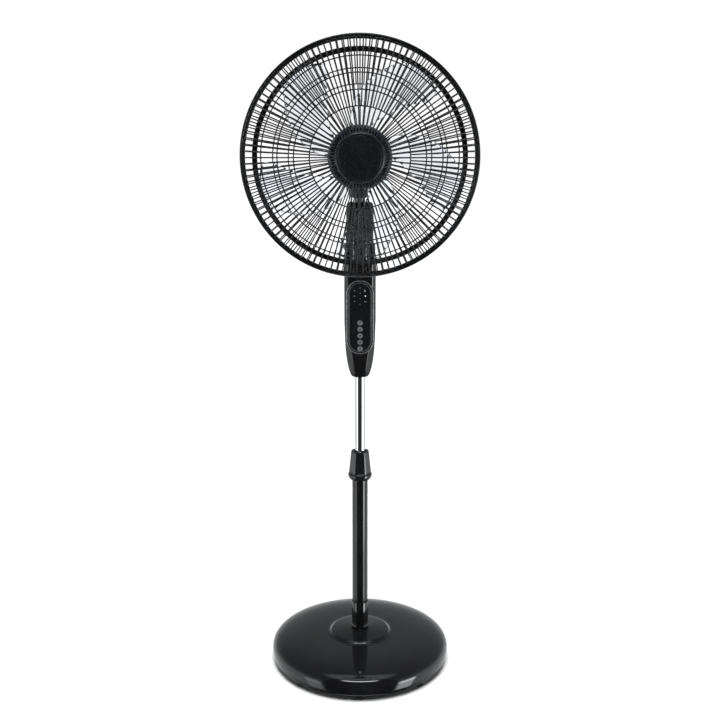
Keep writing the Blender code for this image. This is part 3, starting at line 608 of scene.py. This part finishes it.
EDGE_LEAN = radians(27)


def planes_radius(direction, planes, power):
    """Distance from the centre to a rounded outline that stays inside all the planes."""
    total = 0.0
    for angle, distance in planes:
        share = cos(direction - angle)
        if share > 0:
            total += (share / distance) ** power
    return total ** (-1 / power)


def housing_outline(z, angles, wall=0.0):
    """Radii of the housing at a height, less a wall, with a fine cut along its two front edges."""
    columns = list(zip(*HOUSING))
    width, depth, front, rear = (float(np.interp(z, columns[0], column)) - wall for column in columns[1:])
    corner = front * sqrt(2) - depth
    edge = corner * sin(EDGE_LEAN) + depth * cos(EDGE_LEAN) - EDGE_CUT
    planes = [(0, width), (pi, width), (-pi / 2, depth), (pi / 2, depth),
              (-pi / 4, front), (-3 * pi / 4, front), (pi / 4, rear), (3 * pi / 4, rear),
              (-pi / 2 + EDGE_LEAN, edge), (-pi / 2 - EDGE_LEAN, edge)]
    return [planes_radius(a, planes, 90) for a in angles]


def half_shell(name, start, end, replaced, cutter):
    """One half of the housing, a closed shell with its edge turned in at the parting line."""
    count = 160
    angles = [start + (end - start) * k / count for k in range(count + 1)]
    heights = sorted({*np.linspace(0.6247, 0.640, 14), *np.linspace(0.640, 0.705, 22),
                      *np.linspace(0.705, 0.860, 12), *np.linspace(0.860, 0.8724, 14)})
    middle = (start + end) / 2
    lean = Vector((cos(middle), sin(middle))) * 0.0002

    def row_at(radii, height):
        return [(r * cos(a) + lean.x, r * sin(a) + lean.y, height) for r, a in zip(radii, angles)]

    tucks = [0.00035 * max(0.0, 1 - min(k, count - k) / 2) for k in range(count + 1)]
    rows = []
    for z in heights:
        outside = [radius - tuck for radius, tuck in zip(housing_outline(z, angles), tucks)]
        inside = row_at(housing_outline(z, angles, WALL), min(max(z, 0.6300), 0.8698))
        rows.append(row_at(outside, z) + inside[::-1])
    shape = bmesh.new()
    made = add_grid(shape, rows)
    for row, flip in ((made[0], True), (made[-1], False)):
        for k in range(len(row) // 2 - 1):
            face = (row[k], row[k + 1], row[-k - 2], row[-k - 1])
            shape.faces.new(tuple(reversed(face)) if flip else face)
    cut(finish(name, shape, GLOSS, "mast", replaced, radians(40)), cutter)


def end_plates():
    """The housing's floor round the tube and its roof round the column."""
    thickness = 0.0018
    for name, z, hole in (("housing_floor", 0.6285, 0.0114), ("housing_roof", 0.8700, 0.0190)):
        radii = housing_outline(z, turns(96), 0.0012)
        holes = [hole] * len(radii)
        rows = [round_row(radii, z), round_row(radii, z + thickness), round_row(holes, z + thickness),
                round_row(holes, z), round_row(radii, z)]
        shape = bmesh.new()
        add_grid(shape, rows)
        finish(name, shape, GLOSS, "mast")


def make_housing():
    outline = stadium(0.0566, 0.1526)
    pocket = bmesh.new()
    add_grid(pocket, [[on_panel(x, y, f) for x, y in outline] for f in (0.0262, 0.0500)], capped=True)
    half_shell("housing_front_shell", -pi, 0.0, ["control_housing_front"], pocket)
    holes = bmesh.new()
    add_rod(holes, 0.0053, 0.020, 0.040, place=on_back(GLAND_Z))
    add_rod(holes, 0.0044, 0.0296, 0.040, place=on_back(SCREW_Z))
    half_shell("housing_rear_shell", 0.0, pi, ["control_housing_rear"], holes)
    end_plates()
    gland = mm((3.2, 33), (6, 33), (7.5, 31.5), (7.5, 29.2), (5, 29.2), (5, 25), (3.2, 25))
    lathe("gland_ring", gland, RUBBER, "mast", ["cord_gland"], 40, on_back(GLAND_Z), 0.0005)
    head = fillet(mm((0, 31.8), (3.4, 31.2), (3.4, 29.6), (0, 29.6)), mm(0, 0.8, 0.2, 0), 4, closed=False)
    screw = lathe("rear_screw", head, STEEL, "mast", ["housing_screw"], 36, on_back(SCREW_Z), 0,
                  closed=False)
    for size in ((0.0036, 0.0024, 0.0007), (0.0007, 0.0024, 0.0036)):
        slot = bmesh.new()
        add_box(slot, (0, 0.0320, SCREW_Z), size)
        cut(screw, slot)


# Panel, buttons and indicators ---

MARK_FOOT = 0.0322
MARK_EDGE = 0.03255
INDICATOR_PITCH = 0.0109


def make_panel():
    outline = stadium(0.056, 0.152)
    channel = bmesh.new()
    add_moulding(channel, outline, mm((0, 26.6), (0, 30.5), (6.7, 30.5), (6.7, 26.6)))
    finish("bezel_channel", channel, PANEL, "mast", ["panel_bezel"])
    bead = ((0, 0.0300), (0, 0.0316), (0.15, 0.0325), (0.38, 0.0330), (0.62, 0.0330), (0.85, 0.0325),
            (1, 0.0316), (1, 0.0300))
    # Both rims take grey materials that are painted highlight: lines of reflection painted onto black plastic
    # rims.
    for name, start, width, material in (("bezel_outer_rim", 0.0, 0.0026, PAINTED_RIM_HIGHLIGHT),
                                         ("bezel_inner_rim", 0.0044, 0.0023, PAINTED_INNER_RIM_HIGHLIGHT)):
        rim = bmesh.new()
        add_moulding(rim, outline, [(start + share * width, forward) for share, forward in bead])
        finish(name, rim, material, "mast", sharp=radians(60))
    face = bmesh.new()
    add_grid(face, inset_rows(stadium(0.0419, 0.1459), mm((0, 30.3), (0, 32.1), (0.4, 32.5))), capped=True)
    plate = finish("panel_face", face, PANEL, "mast", ["panel_plate"])
    hole = mm((0, 28), (5.5, 28), (5.5, 32.2), (5.9, 32.7), (5.9, 36), (0, 36))
    holes = bmesh.new()
    for k in range(BUTTON_COUNT):
        add_lathe(holes, hole, 40, on_button(k), closed=False)
    cut(plate, holes)


def make_buttons():
    dished = mm((0, 33.85), (1.2, 33.85), (2.2, 33.95), (3.4, 34.3), (4.4, 34.2), (5.2, 33.5), (5.2, 30),
                (6, 30), (6, 28.2), (0, 28.2))
    cap = fillet(dished, mm(0, 2, 4, 2, 1.5, 0.6, 0.2, 0.3, 0.3, 0), 4, closed=False)
    ring = fillet(mm((0.9, 33.75), (0.9, 34.05), (1.6, 34.05), (1.6, 33.75)), 0.00008, 2)
    for k in range(BUTTON_COUNT):
        node = f"button_{k + 1}"
        lathe(f"button_cap_{k + 1}", cap, SILVER, f"{node}_body", [node], 48, on_button(k), 0,
              closed=False)
        lathe(f"button_mark_{k + 1}", ring, MARK, f"{node}_body", steps=28,
              place=on_button(k), radius=0)


def add_dot(shape, x, y, radius):
    line = [(0, 0.03275), (radius * 0.6, 0.03272), (radius, MARK_EDGE), (radius, MARK_FOOT), (0, MARK_FOOT)]
    add_lathe(shape, line, 20, lambda u, v, h: on_panel(x + u, y + v, h), closed=False)


def add_arc(shape, x, y, radius, start, end, width, waist=1.0):
    """A small raised crescent or arc: its width swells to the middle when waist is over 1."""
    count = 16
    section = ((-1, MARK_FOOT), (-1, MARK_EDGE), (-0.6, 0.0327),
               (0.6, 0.0327), (1, MARK_EDGE), (1, MARK_FOOT))
    rows = []
    for k in range(count + 1):
        t = k / count
        angle = radians(start + (end - start) * t)
        half = width / 2 * (1 + (waist - 1) * sin(pi * t))
        row = []
        for share, forward in section:
            r = radius + half * share
            row.append(on_panel(x + r * cos(angle), y + r * sin(angle), forward))
        rows.append(row)
    add_grid(shape, rows, capped=True)


def make_indicators():
    """Three windows on the left and four in the middle; a crescent, a lit dot and an arc on the right."""
    windows = bmesh.new()
    for k in range(3):
        add_dot(windows, -0.0110, 0.0545 - INDICATOR_PITCH * k, 0.00125)
    for k in range(4):
        add_dot(windows, 0.0, 0.0600 - INDICATOR_PITCH * k, 0.00105)
    finish("indicator_windows", windows, LENS, "mast", ["indicator_light_guide"])
    symbols = bmesh.new()
    add_arc(symbols, 0.0110, 0.0545, 0.0017, 90, 290, 0.0006, 2.2)
    add_arc(symbols, 0.0106, 0.0340, 0.0022, 205, 335, 0.0006)
    finish("indicator_symbols", symbols, PALE_LENS, "mast")
    lit = bmesh.new()
    add_dot(lit, 0.0108, 0.0436, 0.0012)
    finish("indicator_lit", lit, LIT_LENS, "mast")


# Neck and motor ---

NECK_CORNER = 1.19
EAR_RADIUS = 0.0200
POST_BORE = 0.0088
HEX_RADIUS = 0.0075


def make_neck():
    sections = mm((918.2, 26.2, 24), (919.5, 27, 25), (926, 27.7, 26.1), (950, 27.8, 26.2), (970, 27.8, 26.2),
                  (976, 27.4, 25.7), (980, 26.4, 24.6), (982.2, 25, 23.2), (982.8, 23.6, 21.8))
    rows = []
    for z, width, depth in sections:
        corner = (width + depth) / 2 * NECK_CORNER
        planes = [(0, width), (pi, width), (-pi / 2, depth), (pi / 2, depth),
                  *[((2 * k + 1) * pi / 4, corner) for k in range(4)]]
        rows.append(round_row([planes_radius(a, planes, 26) for a in turns(96)], z))
    shape = bmesh.new()
    add_grid(shape, rows, capped=True)
    body = finish("neck_body", shape, SATIN, "neck", ["neck_housing"])
    bore = bmesh.new()
    add_rod(bore, POST_BORE, 0.962, 0.990, 40)
    cut(body, bore)
    for side in (-1, 1):
        make_ear(side)
    for name, side in (("neck_apron_front", -1), ("neck_apron_rear", 1)):
        rows = []
        for z, face in mm((905.5, 24.4), (906.5, 25.4), (921.5, 25.6)):
            outline = ((-0.0132, 0.0215), (-0.0132, face), (0.0132, face), (0.0132, 0.0215))
            rows.append([(x, side * y, z) for x, y in outline])
        apron = bmesh.new()
        add_grid(apron, rows, capped=True)
        finish(name, apron, SATIN, "neck")


def make_ear(side):
    """One ear of the tilt fork: flush with the neck above, and rounded about the pivot below."""
    count = 28
    outline = []
    for k in range(count + 1):
        angle = pi + pi * k / count
        outline.append((EAR_RADIUS * cos(angle), TILT_Z + EAR_RADIUS * sin(angle)))
    edge = mm((22, 900.5), (24.7, 904.5), (25.4, 908), (25.4, 920.5))
    outline += edge + [(-y, z) for y, z in reversed(edge)]
    centre = Vector((0, TILT_Z))
    rows = []
    for x, scale in ((0.0130, 0.975), (0.0136, 1), (0.0185, 1), (0.0258, 1), (0.0266, 0.985), (0.0270, 0.94)):
        reach = max(0.0437 - x, 0.0180)
        row = []
        for y, z in outline:
            if z > TILT_Z + 0.0050:
                y = max(-reach, min(reach, y))
            spot = centre + (Vector((y, z)) - centre) * scale
            row.append((side * x, spot.x, spot.y))
        rows.append(row)
    shape = bmesh.new()
    add_grid(shape, rows, capped=True)
    name = "neck_ear_right" if side > 0 else "neck_ear_left"
    ear = finish(name, shape, SATIN, "neck")
    bore = bmesh.new()
    add_rod(bore, 0.0043, 0.005, 0.040, place=lambda x, y, h: along_x(x, y, side * h))
    cut(ear, bore)


def make_tilt_hardware():
    shank = fillet(mm((0, -33.5), (3.6, -33.5), (4, -32.8), (4, 28), (0, 28)), mm(0, 0.3, 0.3, 0, 0), 3,
                   closed=False)
    lathe("tilt_bolt_shank", shank, STEEL, "neck", ["tilt_bolt"], 32, along_x, 0, closed=False)
    for name, low, high, nodes in (("tilt_bolt_hex", 0.0273, 0.0310, []),
                                   ("tilt_nut_hex", -0.0315, -0.0273, ["tilt_nut"])):
        steps = ((low, 0.93), (low + 0.0005, 1.0), (high - 0.0005, 1.0), (high, 0.93))
        shape = bmesh.new()
        add_grid(shape, [round_row([HEX_RADIUS * scale] * 6, x, along_x) for x, scale in steps], capped=True)
        piece = finish(name, shape, STEEL, "neck", nodes, radians(20))
        if nodes:
            bore = bmesh.new()
            add_rod(bore, 0.0041, -0.040, -0.020, place=along_x)
            cut(piece, bore)


def make_post_and_lead():
    post = mm((0, 1016.9), (5.8, 1016.9), (6, 1013), (8.5, 1013), (8.5, 991.7), (10.5, 991.7), (10.5, 983.3),
              (8.5, 983.3), (8.5, 962.6), (0, 962.6))
    lathe("post_turned", fillet(post, 0.0004, 3, closed=False), STEEL, "neck", ["swing_post"], 48,
          radius=0, closed=False)
    route = mm((-17, -18, 991.4), (-17, -18.4, 988), (-17.8, -27.2, 980), (-18.6, -32, 969),
               (-19.2, -34, 956), (-19.8, -32.5, 943), (-20.3, -28.5, 935), (-20, -22.2, 930),
               (-19.6, -15, 928))
    lead = bmesh.new()
    add_tube(lead, smooth_line(route, 8), 0.0021, 16)
    finish("motor_lead_sheath", lead, RUBBER, "neck", ["motor_lead"])


def smooth_profile(points, steps):
    return [(max(p.x, 0.0), p.y) for p in smooth_line(points, steps)]


def add_slots(shape, angles, radius, forward, size):
    """Boxes round the head's axis, each with its length along the radius or the axis."""
    for angle in angles:
        spot = on_head(radius * cos(angle), radius * sin(angle), forward)
        add_box(shape, spot, size, Matrix.Rotation(-angle, 4, "Y"))


def make_motor():
    barrel = lathe("motor_barrel", mm((60.5, 42), (63, 42), (63, -45), (60.5, -45)), SATIN, "head",
                   ["motor_housing"], 128, on_head, 0.0006)
    vents = bmesh.new()
    for angle in turns(48, 0.5):
        if sin(angle) >= -0.55:
            for forward in (0.018, -0.022):
                add_slots(vents, [angle], 0.0645, forward, (0.0058, 0.0210, 0.0028))
    cut(barrel, vents)
    gearbox = bmesh.new()
    rows = []
    for z, scale in ((0.9922, 0.975), (0.9930, 0.995), (0.9945, 1.0), (1.0140, 1.0), (1.0200, 0.95)):
        rows.append(round_row([scale] * 72, z, lambda x, y, h: (0.0225 * x, 0.0281 * y, h)))
    add_grid(gearbox, rows, capped=True)
    shell = finish("gearbox_shell", gearbox, SATIN, "head")
    bore = bmesh.new()
    add_rod(bore, POST_BORE, 0.980, 1.030, 40)
    cut(shell, bore)
    outer = mm((63, -45.3), (62.8, -52), (61.2, -60), (56.5, -69.5), (48, -76.8), (38, -80.8), (25, -82.6),
               (0, -83))
    inner = mm((0, -80.6), (24.5, -80.2), (37, -78.5), (46.5, -74.5), (54.5, -67.5), (58.8, -59),
               (60.4, -51.5), (60.6, -45.3))
    dome = lathe("rear_dome", smooth_profile(outer, 4) + smooth_profile(inner, 3), SATIN, "head",
                 ["motor_rear_cover"], 128, on_head, 0)
    slots = bmesh.new()
    add_slots(slots, turns(36), 0.0430, -0.0770, (0.0200, 0.0300, 0.0026))
    cut(dome, slots)
    front = mm((7.5, 42.3), (63, 42.3), (63, 44.6), (60, 46.5), (48, 46.5), (47, 45.5), (30, 45.5),
               (29, 46.5), (19, 46.5), (19, 66), (11.5, 66), (11.5, 53), (7.5, 53))
    lathe("front_casting", front, DIE_CAST, "head", ["motor_front_plate"], 96, on_head, 0.0007)


# Guards ---

FRONT_WIRES = 110
REAR_WIRES = 120
WIRE_RADIUS = 0.00128
RING_RADIUS = 0.00125
RIM_RADIUS = 0.2175

# (radius, forward) of each guard's wires, from its middle to its rim
FRONT_LINE = mm((44, 177.3), (70, 178.2), (92, 178.5), (121, 178), (151, 176.6), (181, 172.8), (193, 169.5),
                (203, 163), (209.5, 153.5), (214, 141), (217, 128.5), (217.5, 122.5))
REAR_LINE = mm((56, 54.8), (90, 56.5), (139, 59.5), (169, 62), (193, 64.5), (203, 68), (208.5, 75.5),
               (212, 88), (215.5, 104), (217.2, 115), (217.5, 118))


def line_from(line, start):
    """The part of a guard's line from a radius outwards, as smooth (radius, forward) points."""
    smooth = smooth_line(line, 4)
    forward = float(np.interp(start, [p.x for p in smooth], [p.y for p in smooth]))
    return [(start, forward)] + [(p.x, p.y) for p in smooth if p.x > start + 0.0015]


def add_grille(shape, line, count, starts, rings):
    """Wires that start in turn at one radius and the other, and the rings that lie behind them."""
    for offset, start in enumerate(starts):
        path = line_from(line, start)
        for angle in turns(count)[offset::2]:
            add_tube(shape, [on_head(r * cos(angle), r * sin(angle), f) for r, f in path], WIRE_RADIUS, 6)
    for radius in rings:
        forward = line_from(line, radius)[0][1] - WIRE_RADIUS - RING_RADIUS * 0.7
        add_ring(shape, radius, forward, RING_RADIUS)


def make_front_guard():
    shape = bmesh.new()
    add_grille(shape, FRONT_LINE, FRONT_WIRES, (0.0435, 0.0920), (0.0920, 0.1210, 0.1510, 0.1810))
    add_ring(shape, 0.0455, 0.1762, 0.0015, 120)
    add_ring(shape, RIM_RADIUS, 0.1222, 0.0020)
    finish("front_grille", shape, WIRE, "head", ["front_guard"], radians(80))
    cap = mm((0, 187.6), (20, 187.9), (38.5, 187.7), (39.8, 187.1), (40.8, 187.6), (42.8, 187.2),
             (45.2, 185.5), (46, 183.2), (46, 178.7), (44, 178.7), (43.8, 181.5), (0, 182.5))
    rounded = fillet(cap, mm(0, 50, 0.8, 0.6, 0.6, 4, 2, 1.5, 0.4, 0.3, 1, 0), 5, closed=False)
    lathe("guard_cap", rounded, CAP, "head", ["front_cap"], 144, on_head, 0, closed=False,
          sharp=radians(55))


def make_rear_guard():
    shape = bmesh.new()
    add_grille(shape, REAR_LINE, REAR_WIRES, (0.0560, 0.1385), (0.1390, 0.1690))
    add_ring(shape, 0.0575, 0.0530, 0.0016, 120)
    add_ring(shape, RIM_RADIUS, 0.1175, 0.0020)
    finish("rear_grille", shape, WIRE, "head", ["rear_guard"], radians(80))
    band = mm((198, 67.2), (207.8, 70), (208, 70.9), (198, 68.2))
    lathe("rear_guard_band", band, BAND, "head", steps=180, place=on_head, radius=0.0003)
    plate = mm((21.3, 50.6), (57.5, 51), (57.5, 52.3), (48, 52.2), (47, 52.8), (36, 52.8), (35, 52.1),
               (21.3, 52.1))
    mount = lathe("rear_guard_plate", plate, BAND, "head", steps=120, place=on_head,
                  radius=0.0003)
    holes = bmesh.new()
    for angle in turns(12, 0.5):
        across, up = 0.0460 * cos(angle), 0.0460 * sin(angle)
        add_rod(holes, 0.0042, 0.045, 0.060, 24, lambda x, y, h, a=across, u=up: on_head(x + a, y + u, h))
    cut(mount, holes)


def make_ring_nut():
    """The plastic ring nut that clamps the rear guard, with finger lobes round its edge."""
    angles = turns(144)
    rows = [round_row([r] * len(angles), f, on_head) for r, f in mm((19.3, 55.6), (19.3, 62.6), (20, 63))]
    for inwards, forward in mm((0.6, 63), (0, 62.2), (0, 56.5), (0.6, 55.6)):
        lobes = [0.0312 + 0.0012 * cos(a * 12) - inwards for a in angles]
        rows.append(round_row(lobes, forward, on_head))
    shape = bmesh.new()
    add_grid(shape, [*rows, rows[0]])
    finish("guard_ring_nut", shape, SATIN, "head", ["rear_guard_nut"])


def make_hoop():
    section = mm((215.8, 128.3), (216.8, 129.4), (218.4, 129.5), (219.4, 128.6), (220.3, 128.7),
                 (221.3, 129.6), (223, 129.4), (224.4, 128.4), (225, 126.6), (225, 111.8), (224.3, 111),
                 (218.8, 111), (218.8, 112.2), (222.6, 113), (223, 126.2), (221.6, 127.6), (215.8, 127.4))
    lathe("hoop_band", section, HOOP, "head", ["guard_hoop"], 288, on_head, 0.0005,
          sharp=radians(60))


# Blade ---

BLADE_ROOT = 0.0597
BLADE_TIP = 0.194


def blade_point(across, along, side):
    """A point on one face of a swept blade: across -1 trailing to 1 leading, side -1 rear or 1 front."""
    root, middle, tip = radians(19), radians(21), radians(15.5)
    bow = 4 * along * (1 - along)
    half_angle = root + (tip - root) * along + (middle - (root + tip) / 2) * bow
    rounding = 0.10 * across ** 4
    radius = BLADE_ROOT + (BLADE_TIP - BLADE_ROOT) * along * (1 - rounding * along)
    angle = -pi / 2 + radians(35) * (1 - along) ** 1.2 - half_angle * across
    half_depth = 0.021 - 0.007 * along
    forward = 0.114 - half_depth * across - 0.005 * (1 - across ** 2) * along
    edge = max(0.0, 1 - abs(across) ** 6) ** 0.5 * max(0.0, 1 - max(0.0, along - 0.93) ** 2 / 0.0049) ** 0.5
    thickness = 0.0003 + (0.0011 - 0.0003 * along) * edge
    return radius, angle, forward + side * thickness


def make_hub():
    profile = mm((4.3, 140), (18, 140), (19, 140.8), (21.5, 140.8), (22.5, 140), (45, 140), (56, 137.2),
                 (60.5, 131), (61, 124), (61, 88), (58.3, 88), (58, 129), (54, 135), (45, 137.2), (12, 137),
                 (12, 105), (4.3, 105))
    radii = mm(0, 0.4, 0.4, 0.4, 0.4, 10, 6, 4, 2, 0.6, 0.6, 3, 3, 3, 2, 0.5, 0)
    lathe("blade_hub", fillet(profile, radii, 5), HUB, "rotor", steps=120, place=on_head,
          radius=0)


def make_blades():
    shape = bmesh.new()
    columns, lines = 30, 34
    section = [(column, 1) for column in range(columns + 1)]
    section += [(column, -1) for column in range(columns, -1, -1)]
    for turn in turns(BLADE_COUNT):
        rows = []
        for line in range(lines + 1):
            along = 1 - (1 - line / lines) ** 1.3
            row = []
            for column, side in section:
                across = sin((column / columns - 0.5) * pi)
                radius, angle, forward = blade_point(across, along, side)
                angle += turn
                row.append(on_head(radius * cos(angle), radius * sin(angle), forward))
            rows.append(row)
        add_grid(shape, rows, capped=True)
    finish("swept_blades", shape, SMOKE, "rotor", ["fan_blade"], radians(50))


def make_blade_nut():
    """A nut with ten shallow finger lobes: each step is a radius, a place and the depth of its lobes."""
    steps = ((0.0042, 0.1404, 0), (0.0150, 0.1404, 0.4), (0.0162, 0.1412, 1), (0.0160, 0.1500, 1),
             (0.0150, 0.1550, 1), (0.0135, 0.1585, 0.6), (0.0105, 0.1608, 0.2), (0.0060, 0.1618, 0),
             (0.0015, 0.1620, 0), (0.0015, 0.1576, 0), (0.0042, 0.1576, 0))
    rows = []
    for radius, forward, lobes in steps:
        radii = [radius - 0.0007 * lobes * (0.5 + 0.5 * cos(a * 10)) for a in turns(120)]
        rows.append(round_row(radii, forward, on_head))
    shape = bmesh.new()
    add_grid(shape, [*rows, rows[0]])
    finish("spinner_nut", shape, SATIN, "rotor", ["blade_nut"])


# Materials of the CAD nodes that stay ---

KEPT = {
    "base_weight": CAST_IRON, "base_plate": PAINT, "tube_foot_plug": NYLON, "pole_bolt": STEEL,
    "collet": NYLON, "tube_end_stop": NYLON, "tilt_bracket": SATIN, "control_board": BOARD,
    "swing_gear": NYLON, "swing_pinion": NYLON, "swing_motor": STEEL, "stator_core": CORE,
    "front_winding": COPPER, "rear_winding": COPPER, "motor_end_shield": DIE_CAST,
    "front_bearing": STEEL, "rear_bearing": STEEL, "motor_shaft": TURNED, "rotor_core": CORE,
}


def paint_kept_nodes():
    for name, material in KEPT.items():
        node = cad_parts[name]
        if not node.material_slots:
            node.data.materials.append(material)
        for slot in node.material_slots:
            slot.material = material


# Stage, light and camera ---

SOFTBOX_ANGLE = radians(60)
SUN_STRENGTH = 3.3
SUN_ANGLE = radians(34)
SUN_PLACE = (0.0, -0.35, 3.0)
CAMERA_DISTANCE = 1.954
CAMERA_PITCH = radians(10)
CAMERA_LENS = 48.2
CAMERA_SHIFT = -0.0450


def make_floor():
    shape = bmesh.new()
    radii = (0.05, 0.4, 1.0, 2.5, 6.0, 14.0, 40.0)
    made = add_grid(shape, [round_row([radius] * 64, 0.0) for radius in radii])
    shape.faces.new(list(reversed(made[0])))
    mesh = mesh_from(shape, "studio_floor")
    floor, tree, shader = new_material("Pale_Studio_Floor")
    tint(tree, noise(tree, 1.5), (0.86, 0.86, 0.86), (0.88, 0.88, 0.88), shader)
    set_inputs(shader, Roughness=0.9, Specular_IOR_Level=0.0)
    mesh.materials.append(floor)
    obj = new_object("studio_floor", mesh)
    obj.visible_glossy = False


def make_world():
    """A white studio, plain white where it is seen.

    Reflections find a bright horizon, a darker ceiling, a dark front and two tall softboxes.
    """
    world = bpy.data.worlds.new("Studio")
    bpy.context.scene.world = world
    world.use_nodes = True
    tree = world.node_tree
    tree.nodes.clear()

    def math(operation, first, second):
        node = tree.nodes.new("ShaderNodeMath")
        node.operation = operation
        for socket, value in zip(node.inputs, (first, second)):
            if isinstance(value, (int, float)):
                socket.default_value = value
            else:
                tree.links.new(value, socket)
        return node.outputs["Value"]

    def product(first, second):
        return math("MULTIPLY", first, second)

    def total(first, second):
        return math("ADD", first, second)

    def between(source, low, high, first=0.0, last=1.0):
        return ranged(tree, source, low, high, first, last)

    def background(colour):
        node = tree.nodes.new("ShaderNodeBackground")
        set_inputs(node, Color=(*colour, 1))
        return node

    split = tree.nodes.new("ShaderNodeSeparateXYZ")
    tree.links.new(tree.nodes.new("ShaderNodeTexCoord").outputs["Generated"], split.inputs["Vector"])
    x, y, z = split.outputs["X"], split.outputs["Y"], split.outputs["Z"]
    rise = tree.nodes.new("ShaderNodeValToRGB")
    stops = ((0.0, 0.80), (0.10, 0.70), (0.30, 0.36), (0.50, 0.20), (0.75, 0.12), (1.0, 0.10))
    elements = rise.color_ramp.elements
    while len(elements) < len(stops):
        elements.new(0.5)
    for element, (position, value) in zip(elements, stops):
        element.position = position
        element.color = (value, value, value, 1)
    tree.links.new(z, rise.inputs["Fac"])
    flat = math("SQRT", total(product(x, x), product(y, y)), 0)
    forward = math("DIVIDE", y, flat)
    sideways = math("DIVIDE", x, flat)
    light = product(rise.outputs["Color"], between(forward, -0.72, -0.61, 0.045, 1.0))
    light = product(light, between(z, -0.80, -0.50, 0.03, 1.0))
    low = product(between(z, -0.38, -0.33, 0.45, 1.0), between(z, -0.70, -0.60))
    high = between(z, -0.12, -0.04, 1.0, 0.0)
    for side, strength in ((1, 6.0), (-1, 1.2)):
        toward = total(product(sideways, side * sin(SOFTBOX_ANGLE)), product(forward, -cos(SOFTBOX_ANGLE)))
        softbox = product(between(toward, 0.972, 0.988, 0.0, strength), product(low, high))
        light = total(light, softbox)
    strip = product(between(forward, -0.90, -0.80, 12.0, 0.0),
                    product(between(z, 0.83, 0.85), between(z, 0.89, 0.91, 1.0, 0.0)))
    light = total(light, strip)
    light = total(light, between(z, 0.91, 0.96, 0.0, 0.7))
    light = total(light, between(z, -0.985, -0.955, 2.2, 0.0))
    around = background((0.97, 0.99, 1.0))
    tree.links.new(light, around.inputs["Strength"])
    seen = background((1, 1, 1))
    set_inputs(seen, Strength=1.05)
    path = tree.nodes.new("ShaderNodeLightPath")
    direct = math("MAXIMUM", path.outputs["Is Camera Ray"], path.outputs["Is Transmission Ray"])
    pick = tree.nodes.new("ShaderNodeMixShader")
    for socket, source in zip(pick.inputs, (direct, around.outputs[0], seen.outputs[0])):
        tree.links.new(source, socket)
    tree.links.new(pick.outputs[0], tree.nodes.new("ShaderNodeOutputWorld").inputs["Surface"])


def make_sun():
    sun = bpy.data.lights.new("overhead", "SUN")
    sun.energy = SUN_STRENGTH
    sun.angle = SUN_ANGLE
    obj = new_object("overhead", sun)
    obj.location = SUN_PLACE
    obj.rotation_euler = (-Vector(SUN_PLACE)).to_track_quat("-Z", "Y").to_euler()
    obj.visible_glossy = False


def make_camera():
    camera = bpy.data.cameras.new("camera")
    camera.sensor_width = 36
    camera.lens = CAMERA_LENS
    camera.shift_y = CAMERA_SHIFT
    obj = new_object("camera", camera)
    obj.location = (0, -CAMERA_DISTANCE, HEAD_Z)
    obj.rotation_euler = (pi / 2 - CAMERA_PITCH, 0, 0)
    bpy.context.scene.camera = obj


make_base()
make_pole()
make_collar()
make_housing()
make_panel()
make_buttons()
make_indicators()
make_neck()
make_tilt_hardware()
make_post_and_lead()
make_motor()
make_front_guard()
make_rear_guard()
make_ring_nut()
make_hoop()
make_hub()
make_blades()
make_blade_nut()
paint_kept_nodes()
make_floor()
make_world()
make_sun()
make_camera()
bpy.context.scene.view_settings.view_transform = "Standard"
